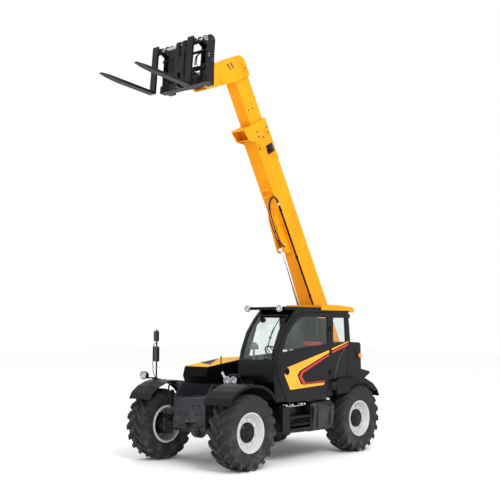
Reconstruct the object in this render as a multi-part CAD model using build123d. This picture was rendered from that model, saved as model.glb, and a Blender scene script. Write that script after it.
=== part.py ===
from build123d import *
from math import atan2, cos, degrees, hypot, pi, radians, sin, sqrt
import os

# A telehandler with a two-section telescopic boom and a floating-fork carriage.
# Millimetres. +Z is up, the machine faces -Y and its left (cab) side is +X.
# The origin is on the ground, under the middle of the whole machine.

# ---------------------------------------------------------------- running gear
WHEELBASE = 3080
TRACK = 2000
FRONT_AXLE_Y = -1105          # front axle, forward of the origin
REAR_AXLE_Y = FRONT_AXLE_Y + WHEELBASE
TYRE_RADIUS = 615             # over the lugs
TYRE_WIDTH = 450
TYRE_SIDES = 18               # facets round a tyre
LUG_PAIRS = 18
LUG_HEIGHT = 30
LUG_WIDTH = 62
LUG_ANGLE = 42                # lug's lean from straight across the tread
RIM_SEAT_RADIUS = 305
RIM_WIDTH = 380
RIM_FLANGE_RADIUS = 330
RIM_WALL = 12
HUB_RADIUS = 165
HUB_RECESS = 55               # hub end, inside the rim's outer edge
KINGPIN_OFFSET = 130          # kingpin, inboard of the wheel's middle
KINGPIN_RADIUS = 26
YOKE_HEIGHT = 125             # half the gap between the yoke's ears
EAR = 40                      # thickness of a yoke's ear
STEER_ARM = 150               # steering arm's reach, ahead of the kingpin
SEAT_GAP = 0.3                # between pieces that sit in each other
TURN_GAP = 6                  # between pieces that turn past each other

# --------------------------------------------------------------------- chassis
FRAME_HALF = 385              # outside of the frame's side plates
FRAME_PLATE = 20
FRAME_LOW = 620               # underside of the side plates
SADDLE_HEIGHT = 150           # the plates' notches, above the axles' centres
FRAME_FRONT = FRONT_AXLE_Y - 250
FRAME_REAR = REAR_AXLE_Y + 700
FRAME_DECK = 1130             # top of the front plate
FRONT_BOLT_HOLE = 11          # radius of the front plate's bolt holes
TOWER_INNER = 185             # inside faces of the two boom towers
TOWER_PLATE = 35

# ------------------------------------------------------------------------ boom
BOOM_ANGLE = 61               # raised, as it stands
PIVOT_Y = FRONT_AXLE_Y + 3650
PIVOT_Z = 1850
PIVOT_PIN_RADIUS = 40
OUTER_WIDTH = 290
OUTER_TOP = 320               # top face, above the pivot line
OUTER_BOTTOM = -155           # bottom face, below the pivot line
OUTER_WALL = 10
OUTER_FOOT = -190             # rear end, behind the pivot
OUTER_MOUTH = 4900            # front end, along the boom
INNER_WALL = 9
INNER_PAD = 38                # wear-pad space round the inner section
STROKE = 3000                 # telescopic travel
EXTENDED = 700                # how far it stands out at rest
BOOM_OVERLAP = 1000           # inner section still held at full stretch

# --------------------------------------------------------------- lift cylinder
LIFT_EYE_ALONG = 2420         # rod eye, along the boom
LIFT_EYE_BELOW = -275         # rod eye, below the pivot line
LIFT_BASE_Y = PIVOT_Y - 200
LIFT_BASE_Z = 1220
LIFT_BARREL_LENGTH = 1650
LIFT_BARREL_RADIUS = 66
LIFT_BORE = 55
LIFT_ROD_RADIUS = 36
LIFT_PIN_RADIUS = 28
LIFT_EYE_RADIUS = 52
LIFT_EYE_WIDTH = 100

# ------------------------------------------------------- boom head and carriage
HEAD_WIDTH = 330
HEAD_BACK = 205               # head's rear face, behind the carriage pivot, along the boom
TILT_ALONG = 5950             # carriage pivot, along the boom at rest
TILT_BELOW = -870             # carriage pivot, below the pivot line
TILT_PIN_RADIUS = 32
TILT_BOSS = 105               # radius of the nose round the carriage pivot
FORK_TILT = 5                 # forks tipped up, as they stand
FORK_LENGTH = 1150
FORK_WIDTH = 130
FORK_THICK = 45
SHANK_TOP = 640               # shank's top, above the carriage pivot
FORK_FACE = 600               # shank's front face, ahead of the carriage pivot
HEEL_DROP = 250               # underside of the blade, below the carriage pivot
FORK_LEFT_X = 270
FORK_RIGHT_X = -620
SHAFT_RADIUS = 30
SHAFT_ABOVE = 560             # top shaft, above the carriage pivot
SHAFT_AHEAD = 505             # top shaft, ahead of the carriage pivot

# ------------------------------------------------------------------------- cab
CAB_INNER = 285               # cab's wall beside the boom
CAB_OUTER = 1120              # cab's outside, at the door
CAB_WALL = 45
CAB_FRONT = FRONT_AXLE_Y + 680
CAB_REAR = FRONT_AXLE_Y + 2900
CAB_FLOOR = 1060
CAB_TOP = 2640
SILL_Z = 1710                 # foot of the windscreen
GLASS = 8
DOOR_REAR = FRONT_AXLE_Y + 2260
DOOR_GAP = 6
HANDLE = (FRONT_AXLE_Y + 1008, 1569)
HANDLE_CUP = 42               # radius of the recess behind the handle
DOOR_HINGES = (1500, 2300)    # heights of the door's hinges
HINGE_OUT = 22                # a hinge's axis, outside the wall it stands on
HINGE_RADIUS = 13
HINGE_PIN = 7
HINGE_HALF = 25               # half the length of a hinge's middle barrel
HINGE_EAR = 20                # length of each barrel beside it

FENDER_WALL = 14
FENDER_TOP = 1390             # top of the front fenders
FENDER_OUTER = 1215           # outside of the rear fenders
REAR_DECK = 1345              # top of the deck over the rear wheels
POD_INNER = -500              # engine pod's wall beside the boom
POD_OUTER = -1130
POD_FRONT = FRONT_AXLE_Y + 760
POD_REAR = FRONT_AXLE_Y + 2330
HOOD_REAR = FRONT_AXLE_Y + 2900
HOOD_SEAM = 1290              # split between the pod and its hood
HOOD_FRONT_TOP = 1612
HOOD_REAR_TOP = 1760
HOOD_WALL = 22
HOOD_GAP = 4                  # between the pod's rim and the closed hood
HOOD_HINGE_Z = HOOD_REAR_TOP - 60
HOOD_HINGES = (-650, -1000)   # the two hood hinges, across the machine
ENGINE = (420, 980, 660)      # block's width, length and height
EXHAUST_CLEAR = 55            # exhaust stack's middle, off the frame's side


# ------------------------------------------------------------- shape helpers
def block(x0, x1, y0, y1, z0, z1):
    """A box between two corners."""
    return Pos((x0 + x1) / 2, (y0 + y1) / 2, (z0 + z1) / 2) * Box(x1 - x0, y1 - y0, z1 - z0)


def outline(corners):
    """A closed face from (u, v) corners; a third value rounds that corner."""
    face = make_face(Polyline(*[c[:2] for c in corners], close=True))
    for radius in sorted({c[2] for c in corners if len(c) == 3}):
        rounded = [c for c in corners if len(c) == 3 and c[2] == radius]
        picked = [v for v in face.vertices()
                  if any(hypot(v.X - c[0], v.Y - c[1]) < 0.01 for c in rounded)]
        face = fillet(picked, radius)
    return face


def side_plate(corners, x0, x1):
    """A plate seen from the side: (y, z) corners, from x0 to x1."""
    return Pos(x0, 0, 0) * extrude(Plane.YZ * outline(corners), x1 - x0)


def flat_plate(corners, z0, z1):
    """A plate seen from above: (x, y) corners, from z0 to z1."""
    return Pos(0, 0, z0) * extrude(outline(corners), z1 - z0)


def folded(points, thick):
    """Corners of a folded sheet: its upper line, then the same line lowered square to itself."""
    under = []
    for i, (y, z) in enumerate(points):
        before, after = points[max(i - 1, 0)], points[min(i + 1, len(points) - 1)]
        run, rise = after[0] - before[0], after[1] - before[1]
        size = hypot(run, rise)
        under.append((y + thick * rise / size, z - thick * run / size))
    return points + under[::-1]


def front_plate(corners, y0, y1):
    """A plate seen from the front: (x, z) corners, from y0 to y1."""
    return Pos(0, y1, 0) * extrude(Plane.XZ * outline(corners), y1 - y0)


def rod_x(radius, x0, x1, y, z):
    """A round bar along X."""
    return Pos((x0 + x1) / 2, y, z) * Rot(0, 90, 0) * Cylinder(radius, x1 - x0)


def rod_y(radius, y0, y1, x, z):
    """A round bar along Y."""
    return Pos(x, (y0 + y1) / 2, z) * Rot(90, 0, 0) * Cylinder(radius, y1 - y0)


def rod_z(radius, z0, z1, x, y):
    """An upright round bar."""
    return Pos(x, y, (z0 + z1) / 2) * Cylinder(radius, z1 - z0)


def mirrored(shape):
    """The same piece on the machine's other side."""
    return mirror(shape, about=Plane.YZ)


def boom_place(shape):
    """Raises what is drawn level, with the boom's pivot at its origin, to the boom's angle."""
    return Pos(0, PIVOT_Y, PIVOT_Z) * Rot(-BOOM_ANGLE, 0, 0) * shape


def boom_point(along, above, angle=BOOM_ANGLE):
    """(y, z) of a point on the boom, at a lift angle."""
    a = radians(angle)
    return (PIVOT_Y - along * cos(a) + above * sin(a), PIVOT_Z + along * sin(a) + above * cos(a))


# -------------------------------------------------------------------- wheels
def faceted_ring(section):
    """A closed section of (x, radius) corners turned about the X axis in flat facets."""
    reach = 1 / cos(pi / TYRE_SIDES)

    def corner(index, side):
        x, radius = section[index % len(section)]
        turn = 2 * pi * (side + 0.5) / TYRE_SIDES
        return (x, radius * reach * sin(turn), radius * reach * cos(turn))

    facets = [Face(Wire.make_polygon([corner(i, k), corner(i + 1, k), corner(i + 1, k + 1), corner(i, k + 1)]))
              for i in range(len(section)) for k in range(TYRE_SIDES)]
    return Solid(Shell(facets))


def tyre():
    """A tyre about the X axis at the origin, its outer wall towards +X."""
    carcass_radius = TYRE_RADIUS - LUG_HEIGHT
    half = TYRE_WIDTH / 2
    bead = RIM_WIDTH / 2 - 14 - SEAT_GAP
    seat, flange = RIM_SEAT_RADIUS + SEAT_GAP, RIM_FLANGE_RADIUS + 8
    body = faceted_ring([
        (-bead, seat), (-bead, flange), (-half, 0.76 * carcass_radius), (-half + 34, carcass_radius - 6),
        (half - 34, carcass_radius - 6), (half, 0.76 * carcass_radius), (bead, flange), (bead, seat)])
    lean = radians(LUG_ANGLE)
    length = (half + 2) / cos(lean)
    height = LUG_HEIGHT + 26
    flat_radius = sqrt(TYRE_RADIUS ** 2 - (length * sin(lean) / 2) ** 2)
    bar = Pos(half / 2 - 6, 0, -flat_radius + height / 2) * Rot(0, 0, LUG_ANGLE) * Box(length, LUG_WIDTH, height)
    keep = Rot(0, 90, 0) * Cylinder(TYRE_RADIUS + 50, TYRE_WIDTH - 4)
    bar &= keep
    pitch = 360 / LUG_PAIRS
    lugs = [Rot(i * pitch, 0, 0) * bar for i in range(LUG_PAIRS)]
    other = mirrored(bar)
    lugs += [Rot((i + 0.5) * pitch, 0, 0) * other for i in range(LUG_PAIRS)]
    return body + lugs


def rim():
    """A dished steel rim about the X axis, its outer face towards +X."""
    half = RIM_WIDTH / 2
    seat = RIM_SEAT_RADIUS
    wall = RIM_WALL
    dish = half - 95
    profile = [  # (x, radius) round the rim's section
        (-half, RIM_FLANGE_RADIUS), (-half, seat - 14), (dish - wall, seat - 30),
        (dish - wall, HUB_RADIUS + SEAT_GAP), (dish, HUB_RADIUS + SEAT_GAP), (dish, seat - 55),
        (half - 28, seat - 16), (half, seat + 2), (half, RIM_FLANGE_RADIUS), (half - 14, RIM_FLANGE_RADIUS),
        (half - 14, seat), (-half + 14, seat), (-half + 14, RIM_FLANGE_RADIUS)]
    return revolve(make_face(Polyline(*profile, close=True)), Axis.X)


def hub():
    """The planetary hub about the X axis, from the knuckle out through the rim."""
    outer = RIM_WIDTH / 2 - HUB_RECESS
    dish = RIM_WIDTH / 2 - 95
    inner = -20
    flange = HUB_RADIUS + 22
    profile = [  # (x, radius)
        (inner, 0), (inner, flange), (dish - RIM_WALL - SEAT_GAP, flange), (dish - RIM_WALL - SEAT_GAP, HUB_RADIUS),
        (outer - 18, HUB_RADIUS), (outer, HUB_RADIUS - 22), (outer, 70), (outer + 14, 62), (outer + 14, 0)]
    return revolve(make_face(Polyline(*profile, close=True)), Axis.X)


def knuckle(axle_z):
    """A left steering knuckle: swivel housing, kingpins, spindle and steering arm."""
    x = TRACK / 2 - KINGPIN_OFFSET
    ear_gap = YOKE_HEIGHT - TURN_GAP
    body = rod_z(72, axle_z - ear_gap, axle_z + ear_gap, x, 0)
    body += rod_z(KINGPIN_RADIUS, axle_z - YOKE_HEIGHT - EAR, axle_z + YOKE_HEIGHT + EAR, x, 0)
    body += rod_x(100, x + 20, TRACK / 2 - 20 - SEAT_GAP, 0, axle_z)
    arm = flat_plate([(x - 24, 0), (x + 30, 0), (x + 22, STEER_ARM, 10), (x - 22, STEER_ARM, 10)], axle_z - 20,
                     axle_z + 15)
    return body + arm


def axle(axle_z):
    """Axle housing: differential, tapered arms and the yokes that hold the knuckles."""
    x = TRACK / 2 - KINGPIN_OFFSET
    centre = Pos(0, 0, axle_z) * Rot(0, 90, 0) * Cylinder(175, 190)
    centre = chamfer(centre.edges().filter_by(GeomType.CIRCLE), 45)
    body = centre + rod_y(95, 0, 230, 0, axle_z)
    arm_end = x - 95
    for side in (1, -1):
        wide = Plane((side * 90, 0, axle_z), z_dir=(side, 0, 0)) * Circle(105)
        narrow = Plane((side * arm_end, 0, axle_z), z_dir=(side, 0, 0)) * Circle(82)
        body += loft([wide, narrow])
        for up in (1, -1):
            near = axle_z + up * YOKE_HEIGHT
            far = near + up * EAR
            ear = flat_plate([(side * (arm_end - 60), -62), (side * (x + 62), -62, 40),
                              (side * (x + 62), 62, 40), (side * (arm_end - 60), 62)], min(near, far), max(near, far))
            body += ear - rod_z(KINGPIN_RADIUS + 0.5, axle_z - 400, axle_z + 400, side * x, 0)
        root = block(-45, 0, -62, 62, axle_z - YOKE_HEIGHT - EAR, axle_z + YOKE_HEIGHT + EAR)
        root = Pos(arm_end, 0, 0) * root
        body += root if side > 0 else mirrored(root)
        saddle = block(FRAME_HALF - 40, FRAME_HALF + 20, -50, 50, axle_z + 60, axle_z + SADDLE_HEIGHT - SEAT_GAP)
        body += saddle if side > 0 else mirrored(saddle)
    return body


def steer_cylinder(axle_z, arm_side):
    """Double-rod steering cylinder across the axle housing, on the side of the knuckles' arms."""
    y = arm_side * STEER_ARM
    reach = TRACK / 2 - KINGPIN_OFFSET - 165
    body = rod_x(38, -200, 200, y, axle_z) + rod_x(16, -reach, reach, y, axle_z)
    for x in (-150, 150):
        body += block(x - 15, x + 15, min(y, arm_side * 60), max(y, arm_side * 60), axle_z - 20, axle_z + 20)
    return body


# ------------------------------------------------------------------- chassis
def chassis_frame(axle_z):
    """Side plates, front plate, belly, cross members and the two boom towers."""
    half = FRAME_HALF
    t = FRAME_PLATE
    notch = axle_z + SADDLE_HEIGHT
    front, rear = FRONT_AXLE_Y, REAR_AXLE_Y
    side = [(FRAME_FRONT, FRAME_LOW), (front - 190, FRAME_LOW), (front - 190, notch), (front + 190, notch),
            (front + 240, FRAME_LOW), (rear - 240, FRAME_LOW), (rear - 190, notch), (rear + 190, notch),
            (rear + 240, FRAME_LOW + 60), (FRAME_REAR, FRAME_LOW + 60), (FRAME_REAR, 1330, 60),
            (rear - 250, 1330, 60), (rear - 420, 1010, 60), (front + 640, 1010, 60), (front + 300, 1335, 60),
            (front - 60, 1375, 30), (FRAME_FRONT, FRAME_DECK)]
    plate = side_plate(side, half - t, half)
    body = plate + mirrored(plate)
    inside = half - t
    body += block(-inside, inside, FRAME_FRONT, FRAME_FRONT + t, FRAME_LOW, FRAME_DECK)
    body += block(-inside, inside, FRAME_FRONT + t, front + 330, FRAME_DECK - t, FRAME_DECK)
    body += block(-inside, inside, front + 290, rear - 290, FRAME_LOW, FRAME_LOW + 12)
    body += block(-inside, inside, FRAME_REAR - t, FRAME_REAR, FRAME_LOW + 60, 1330)
    body += block(-inside, inside, rear - 330, FRAME_REAR - t, notch + 40, notch + 40 + t)
    body += rod_x(55, -inside, inside, front + 700, 940)
    body += rod_x(55, -inside, inside, rear - 560, 900)
    for x in (-284, -230, 212, 266):
        for z in (880, 1010):
            body -= rod_y(FRONT_BOLT_HOLE, FRAME_FRONT - 5, FRAME_FRONT + t + 5, x, z)
    body -= block(-75, 75, FRAME_FRONT - 5, FRAME_FRONT + t + 5, FRAME_LOW - 5, 720)
    return body + boom_towers(notch + 40)


def boom_towers(base_z):
    """Two upright plates that carry the boom's pivot and the foot of the lift cylinder."""
    towers = None
    profile = [(PIVOT_Y - 430, base_z), (FRAME_REAR - 30, base_z), (FRAME_REAR - 30, 1560, 60),
               (PIVOT_Y + 120, PIVOT_Z + 120, 110), (PIVOT_Y - 120, PIVOT_Z + 120, 110), (PIVOT_Y - 400, 1330, 80)]
    plate = side_plate(profile, TOWER_INNER, TOWER_INNER + TOWER_PLATE)
    boss = rod_x(85, TOWER_INNER, TOWER_INNER + TOWER_PLATE + 30, PIVOT_Y, PIVOT_Z)
    lower = rod_x(60, 62, TOWER_INNER, LIFT_BASE_Y, LIFT_BASE_Z)
    plate += block(TOWER_INNER + TOWER_PLATE, FRAME_HALF - FRAME_PLATE, PIVOT_Y - 40, PIVOT_Y + 40, 1240, 1260)
    tower = plate + boss + lower
    tower -= rod_x(PIVOT_PIN_RADIUS + SEAT_GAP, 0, FRAME_HALF, PIVOT_Y, PIVOT_Z)
    tower -= rod_x(LIFT_PIN_RADIUS + SEAT_GAP, 0, FRAME_HALF, LIFT_BASE_Y, LIFT_BASE_Z)
    return tower + mirrored(tower)


def chassis_pins():
    """The boom's pivot pin and the lift cylinder's foot pin, each with its retaining head."""
    reach = TOWER_INNER + TOWER_PLATE + 30
    pivot = rod_x(PIVOT_PIN_RADIUS, -reach - 12, reach + 12, PIVOT_Y, PIVOT_Z)
    reach = TOWER_INNER + TOWER_PLATE
    foot = rod_x(LIFT_PIN_RADIUS, -reach - 15, reach + 15, LIFT_BASE_Y, LIFT_BASE_Z)
    return Compound(children=[pivot, foot])


# ---------------------------------------------------------------------- boom
def boom_side(corners, x0, x1):
    """A plate on the raised boom: (along, above) corners, from x0 to x1."""
    return boom_place(side_plate([(-c[0], c[1], *c[2:]) for c in corners], x0, x1))


def boom_rod(radius, x0, x1, along, above):
    """A round bar across the raised boom."""
    return boom_place(rod_x(radius, x0, x1, -along, above))


def boom_outer():
    """Outer boom section: a hollow box, its foot, mouth collar, under-flange and cylinder bracket."""
    half = OUTER_WIDTH / 2
    wall = OUTER_WALL
    body = boom_side([(OUTER_FOOT, OUTER_BOTTOM, 90), (OUTER_MOUTH, OUTER_BOTTOM),
                      (OUTER_MOUTH, OUTER_TOP), (OUTER_FOOT, OUTER_TOP, 150)], -half, half)
    body -= boom_side([(420, OUTER_BOTTOM + wall), (OUTER_MOUTH + 5, OUTER_BOTTOM + wall),
                       (OUTER_MOUTH + 5, OUTER_TOP - wall), (420, OUTER_TOP - wall)], -half + wall, half - wall)
    for side in (1, -1):
        x0, x1 = sorted((side * (half - 1), side * (half + 14)))
        body += boom_side([(OUTER_MOUTH - 820, OUTER_TOP), (OUTER_MOUTH - 345, OUTER_BOTTOM),
                           (OUTER_MOUTH, OUTER_BOTTOM), (OUTER_MOUTH, OUTER_TOP)], x0, x1)
        x0, x1 = sorted((side * half, side * (TOWER_INNER - 4)))
        body += boom_rod(78, x0, x1, 0, 0)
    body += mouth_flange(half + 14)
    body += lift_bracket()
    for along in (LIFT_EYE_ALONG + 1080, LIFT_EYE_ALONG + 1220):
        body += boom_side([(along - 35, OUTER_BOTTOM), (along + 35, OUTER_BOTTOM),
                           (along + 10, OUTER_BOTTOM - 75, 20), (along - 35, OUTER_BOTTOM - 75, 20)], -90, 90)
    body -= boom_rod(PIVOT_PIN_RADIUS + SEAT_GAP, -400, 400, 0, 0)
    return body


def mouth_flange(half):
    """The open box under the outer section's mouth that carries its lower wear pads."""
    end = OUTER_MOUTH
    low = OUTER_BOTTOM - 225
    body = boom_side([(end - 25, OUTER_BOTTOM), (end, OUTER_BOTTOM), (end, low + 10), (end - 25, low)], -half, half)
    body += boom_side([(end - 275, OUTER_BOTTOM), (end - 255, OUTER_BOTTOM), (end - 215, low + 60),
                       (end - 235, low + 60)], -half, half)
    for side in (1, -1):
        x0, x1 = sorted((side * (half - 14), side * half))
        body += boom_side([(end - 330, OUTER_BOTTOM), (end, OUTER_BOTTOM), (end, low + 10), (end - 235, low + 60)],
                          x0, x1)
    return body


def lift_bracket():
    """Twin plates under the outer section that hold the lift cylinder's rod eye."""
    eye, below = LIFT_EYE_ALONG, LIFT_EYE_BELOW
    pin = LIFT_PIN_RADIUS
    gap = LIFT_EYE_WIDTH / 2 + 12
    body = None
    for side in (1, -1):
        x0, x1 = sorted((side * gap, side * (gap + 28)))
        plate = boom_side([(eye - 120, OUTER_BOTTOM), (eye + 860, OUTER_BOTTOM), (eye + 620, below, 60),
                           (eye + 40, below - 65, 50), (eye - 60, below - 65, 50)], x0, x1)
        x0, x1 = sorted((side * (gap + 2), side * (gap + 44)))
        plate += boom_rod(pin + 22, x0, x1, eye, below)
        body = plate if body is None else body + plate
    body += boom_side([(eye + 210, below - 10), (eye + 600, below + 5), (eye + 780, OUTER_BOTTOM + 3),
                       (eye + 740, OUTER_BOTTOM + 3), (eye + 590, below + 20), (eye + 210, below + 8)],
                      -gap - 1, gap + 1)
    return body


def inner_section():
    """(half width, bottom, top) of the inner boom section."""
    pad = INNER_PAD
    return (OUTER_WIDTH / 2 - OUTER_WALL - pad / 2 + 6, OUTER_BOTTOM + OUTER_WALL + pad, OUTER_TOP - OUTER_WALL - pad)


def boom_inner():
    """Inner boom section, with the wear pads at its tail and the cut where the head is welded on."""
    half, low, high = inner_section()
    tail = OUTER_MOUTH - BOOM_OVERLAP - (STROKE - EXTENDED)
    end = TILT_ALONG - HEAD_BACK
    body = boom_side([(tail, low), (end, low), (end, high), (tail, high)], -half, half)
    wall = INNER_WALL
    body -= boom_side([(tail - 5, low + wall), (end - 150, low + wall), (end - 150, high - wall),
                       (tail - 5, high - wall)], -half + wall, half - wall)
    return body


def boom_pads():
    """Slide pads: at the outer section's mouth, on the sides and underneath."""
    half, low, high = inner_section()
    outer_half = OUTER_WIDTH / 2 - OUTER_WALL
    a0, a1 = OUTER_MOUTH - 160, OUTER_MOUTH - 20
    pads = []
    for bottom, top in ((OUTER_BOTTOM + OUTER_WALL, low - SEAT_GAP), (high + SEAT_GAP, OUTER_TOP - OUTER_WALL)):
        pads.append(boom_side([(a0, bottom), (a1, bottom), (a1, top), (a0, top)], -80, 80))
    for side in (1, -1):
        x0, x1 = sorted((side * (half + SEAT_GAP), side * outer_half))
        pads.append(boom_side([(a0, low + 60), (a1, low + 60), (a1, high - 60), (a0, high - 60)], x0, x1))
    return Compound(children=pads)


def boom_head():
    """The bent head: a box across the boom's end and a nose with two cheeks for the carriage pivot."""
    half = HEAD_WIDTH / 2
    t, n = TILT_ALONG, TILT_BELOW
    high = 285
    box = boom_side([(t - HEAD_BACK, high, 15), (t + 95, high, 60), (t + 215, high - 95, 90), (t + 250, n + 330, 30),
                     (t + 120, n + 300), (t - 155, n + 350, 20),
                     (t - HEAD_BACK, OUTER_BOTTOM + 20)], -half, half)
    box -= boom_side([(t - 100, 60), (t + 150, 60), (t + 170, n + 280), (t - 90, n + 280)], -half + 18, half - 18)
    body = box
    for side in (1, -1):
        x0, x1 = sorted((side * half, side * (half - 38)))
        body += boom_side([(t - 155, n + 352), (t + 205, n + 335), (t + 120, n - 10, 70), (t + 20, n - TILT_BOSS, 80),
                           (t - 105, n - 60, 80)], x0, x1)
        x0, x1 = sorted((side * half, side * (half + 16)))
        body += boom_rod(62, x0, x1, t - 40, high - 90)
    body += boom_side([(t - 155, n + 352), (t - 135, n + 352), (t - 112, n + 150), (t - 132, n + 150)], -half, half)
    body -= boom_rod(TILT_PIN_RADIUS + SEAT_GAP, -half - 5, half + 5, t, n)
    body -= boom_rod(22, -half - 40, half + 40, t - 40, high - 90)
    return body


def lift_axis():
    """(length, elevation in degrees) from the lift cylinder's foot to its rod eye, at rest."""
    eye_y, eye_z = boom_point(LIFT_EYE_ALONG, LIFT_EYE_BELOW)
    run, rise = LIFT_BASE_Y - eye_y, eye_z - LIFT_BASE_Z
    return hypot(run, rise), degrees(atan2(rise, run))


def lift_place(shape):
    """Places what is drawn level, with its foot pin at its origin, on the lift cylinder's line."""
    return Pos(0, LIFT_BASE_Y, LIFT_BASE_Z) * Rot(-lift_axis()[1], 0, 0) * shape


def lift_barrel():
    """Lift cylinder's barrel with its foot eye, gland and oil port pipe."""
    length = LIFT_BARREL_LENGTH
    body = rod_y(LIFT_BARREL_RADIUS, -length, -70, 0, 0) + rod_y(LIFT_BARREL_RADIUS + 9, -length, -length + 75, 0, 0)
    body -= rod_y(LIFT_BORE, -length + 60, -105, 0, 0)
    body -= rod_y(LIFT_ROD_RADIUS + SEAT_GAP, -length - 5, -length + 65, 0, 0)
    body += rod_x(LIFT_EYE_RADIUS + 6, -50, 50, 0, 0) + block(-50, 50, -90, 0, -40, 40)
    body -= rod_x(LIFT_PIN_RADIUS + SEAT_GAP, -60, 60, 0, 0)
    pipe = rod_y(11, -length + 100, -160, 0, LIFT_BARREL_RADIUS + 15)
    for y in (-length + 110, -170):
        pipe += block(-14, 14, y - 16, y + 16, LIFT_BARREL_RADIUS - 8, LIFT_BARREL_RADIUS + 24)
    return lift_place(body + pipe)


def lift_rod():
    """Lift cylinder's rod, piston and rod eye."""
    reach = lift_axis()[0]
    tail = reach - 1960
    body = rod_y(LIFT_ROD_RADIUS, -reach + 40, -tail, 0, 0)
    body += rod_y(LIFT_BORE - SEAT_GAP, -tail - 60, -tail, 0, 0)
    body += rod_x(LIFT_EYE_RADIUS, -LIFT_EYE_WIDTH / 2, LIFT_EYE_WIDTH / 2, -reach, 0)
    body += rod_y(LIFT_ROD_RADIUS + 8, -reach + 45, -reach + 110, 0, 0)
    return lift_place(body)


# ------------------------------------------------------------------ carriage
def fork_place(shape):
    """Places what is drawn level, with the carriage pivot at its origin, on the raised head."""
    y, z = boom_point(TILT_ALONG, TILT_BELOW)
    return Pos(0, y, z) * Rot(-FORK_TILT, 0, 0) * shape


def carriage():
    """Carriage frame: end columns, centre plates, cross bars, lower beam and pivot lugs."""
    rear = -240
    col_front = SHAFT_RADIUS - SHAFT_AHEAD + 35
    top = SHANK_TOP + 40
    bottom = HEEL_DROP - 60
    body = block(-600, 600, -430, -300, -bottom, -bottom + 130)
    for side in (1, -1):
        x0, x1 = sorted((side * 400, side * 545))
        col = side_plate([(col_front, -bottom), (rear + 20, -bottom), (rear - 20, 330, 40), (rear - 20, top, 90),
                          (col_front, top, 70)], x0, x1)
        col -= side_plate([(col_front - 5, 150), (rear - 60, 150), (rear - 60, top - 110), (col_front - 5, top - 110)],
                          x0 + 22, x1 - 22)
        for inner in (400, 523):
            lo, hi = sorted((side * inner, side * (inner + 22)))
            col += side_plate([(col_front + 30, SHAFT_ABOVE + 70, 10), (-SHAFT_AHEAD - 20, SHAFT_ABOVE + 62, 45),
                               (-SHAFT_AHEAD - 50, SHAFT_ABOVE - 50, 20), (col_front + 30, SHAFT_ABOVE - 120)], lo, hi)
        body += col
        lo, hi = sorted((side * 40, side * 110))
        lobe = side_plate([(-430, -bottom), (-300, -bottom), (-430, 200, 40), (-430, SHAFT_ABOVE - 120, 20),
                           (-455, SHAFT_ABOVE + 65, 25), (-565, SHAFT_ABOVE + 65, 45), (-565, 160, 20),
                           (-540, -bottom)], lo, hi)
        body += lobe
        lo, hi = sorted((side * 50, side * (HEAD_WIDTH / 2 - 38 - 6)))
        lug = side_plate([(-430, -bottom), (-430, 130), (-330, 130, 30), (-20, 72, 70), (72, 40, 40),
                          (60, -60, 40), (-60, -85, 40), (-300, -bottom, 20)], lo, hi)
        body += lug
    body += block(-110, 110, -560, -470, 40, 330)
    body += rod_x(24, -545, 545, -445, 380)
    body += block(-520, 520, -470, -430, 60, 110)
    body -= rod_x(TILT_PIN_RADIUS + SEAT_GAP, -200, 200, 0, 0)
    body -= rod_x(SHAFT_RADIUS + SEAT_GAP, -800, 800, -SHAFT_AHEAD, SHAFT_ABOVE)
    return fork_place(body)


def fork_shaft():
    """The round shaft that both forks hang on."""
    shaft = rod_x(SHAFT_RADIUS, FORK_RIGHT_X - 90, 565, -SHAFT_AHEAD, SHAFT_ABOVE)
    shaft += rod_x(SHAFT_RADIUS + 10, 560, 575, -SHAFT_AHEAD, SHAFT_ABOVE)
    return fork_place(shaft)


def tilt_pin():
    """The carriage's pivot pin."""
    half = HEAD_WIDTH / 2
    return fork_place(rod_x(TILT_PIN_RADIUS, -half - 12, half + 12, 0, 0))


def fork(x):
    """One fork: tapered blade, heel, shank and the eye round the shaft."""
    face = -FORK_FACE
    back = face + FORK_THICK
    tip = face - FORK_LENGTH
    low = -HEEL_DROP
    profile = [(back, low, 30), (back, SHANK_TOP - 60, 8), (back - 12, SHANK_TOP, 12), (face, SHANK_TOP - 12, 12),
               (face, low + FORK_THICK, 12), (tip, low + FORK_THICK), (tip, low + 32), (tip + 420, low)]
    blade = side_plate(profile, x - FORK_WIDTH / 2, x + FORK_WIDTH / 2)
    trim = FORK_WIDTH / 2 - 34
    for side in (1, -1):
        wedge = flat_plate([(x + side * trim, tip - 5), (x + side * (FORK_WIDTH / 2 + 5), tip - 5),
                            (x + side * (FORK_WIDTH / 2 + 5), tip + 190)], low - 5, low + 100)
        blade -= wedge
    eye = rod_x(SHAFT_RADIUS + 26, x - 55, x + 55, -SHAFT_AHEAD, SHAFT_ABOVE)
    eye += block(x - 55, x + 55, back - 10, -SHAFT_AHEAD, SHAFT_ABOVE - 50, SHAFT_ABOVE + 50)
    body = blade + eye
    body -= rod_x(SHAFT_RADIUS + SEAT_GAP, x - 100, x + 100, -SHAFT_AHEAD, SHAFT_ABOVE)
    return fork_place(body)


# ----------------------------------------------------------------------- cab
def front_line(inset=0):
    """(y, z) points up the cab's curved front, from the floor to the roof."""
    y = FRONT_AXLE_Y
    points = [(y + 700, CAB_FLOOR), (y + 665, 1400), (y + 680, SILL_Z), (y + 745, 1950), (y + 880, 2240),
              (y + 1080, 2480), (y + 1250, CAB_TOP)]
    return [(p[0] + inset, p[1]) for p in points]


def rear_line(z):
    """How far back the cab's rear wall stands at a height."""
    return CAB_REAR - (60 * (z - 2050) / (CAB_TOP - 2050) if z > 2050 else 40 * (2050 - z) / 670)


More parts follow.
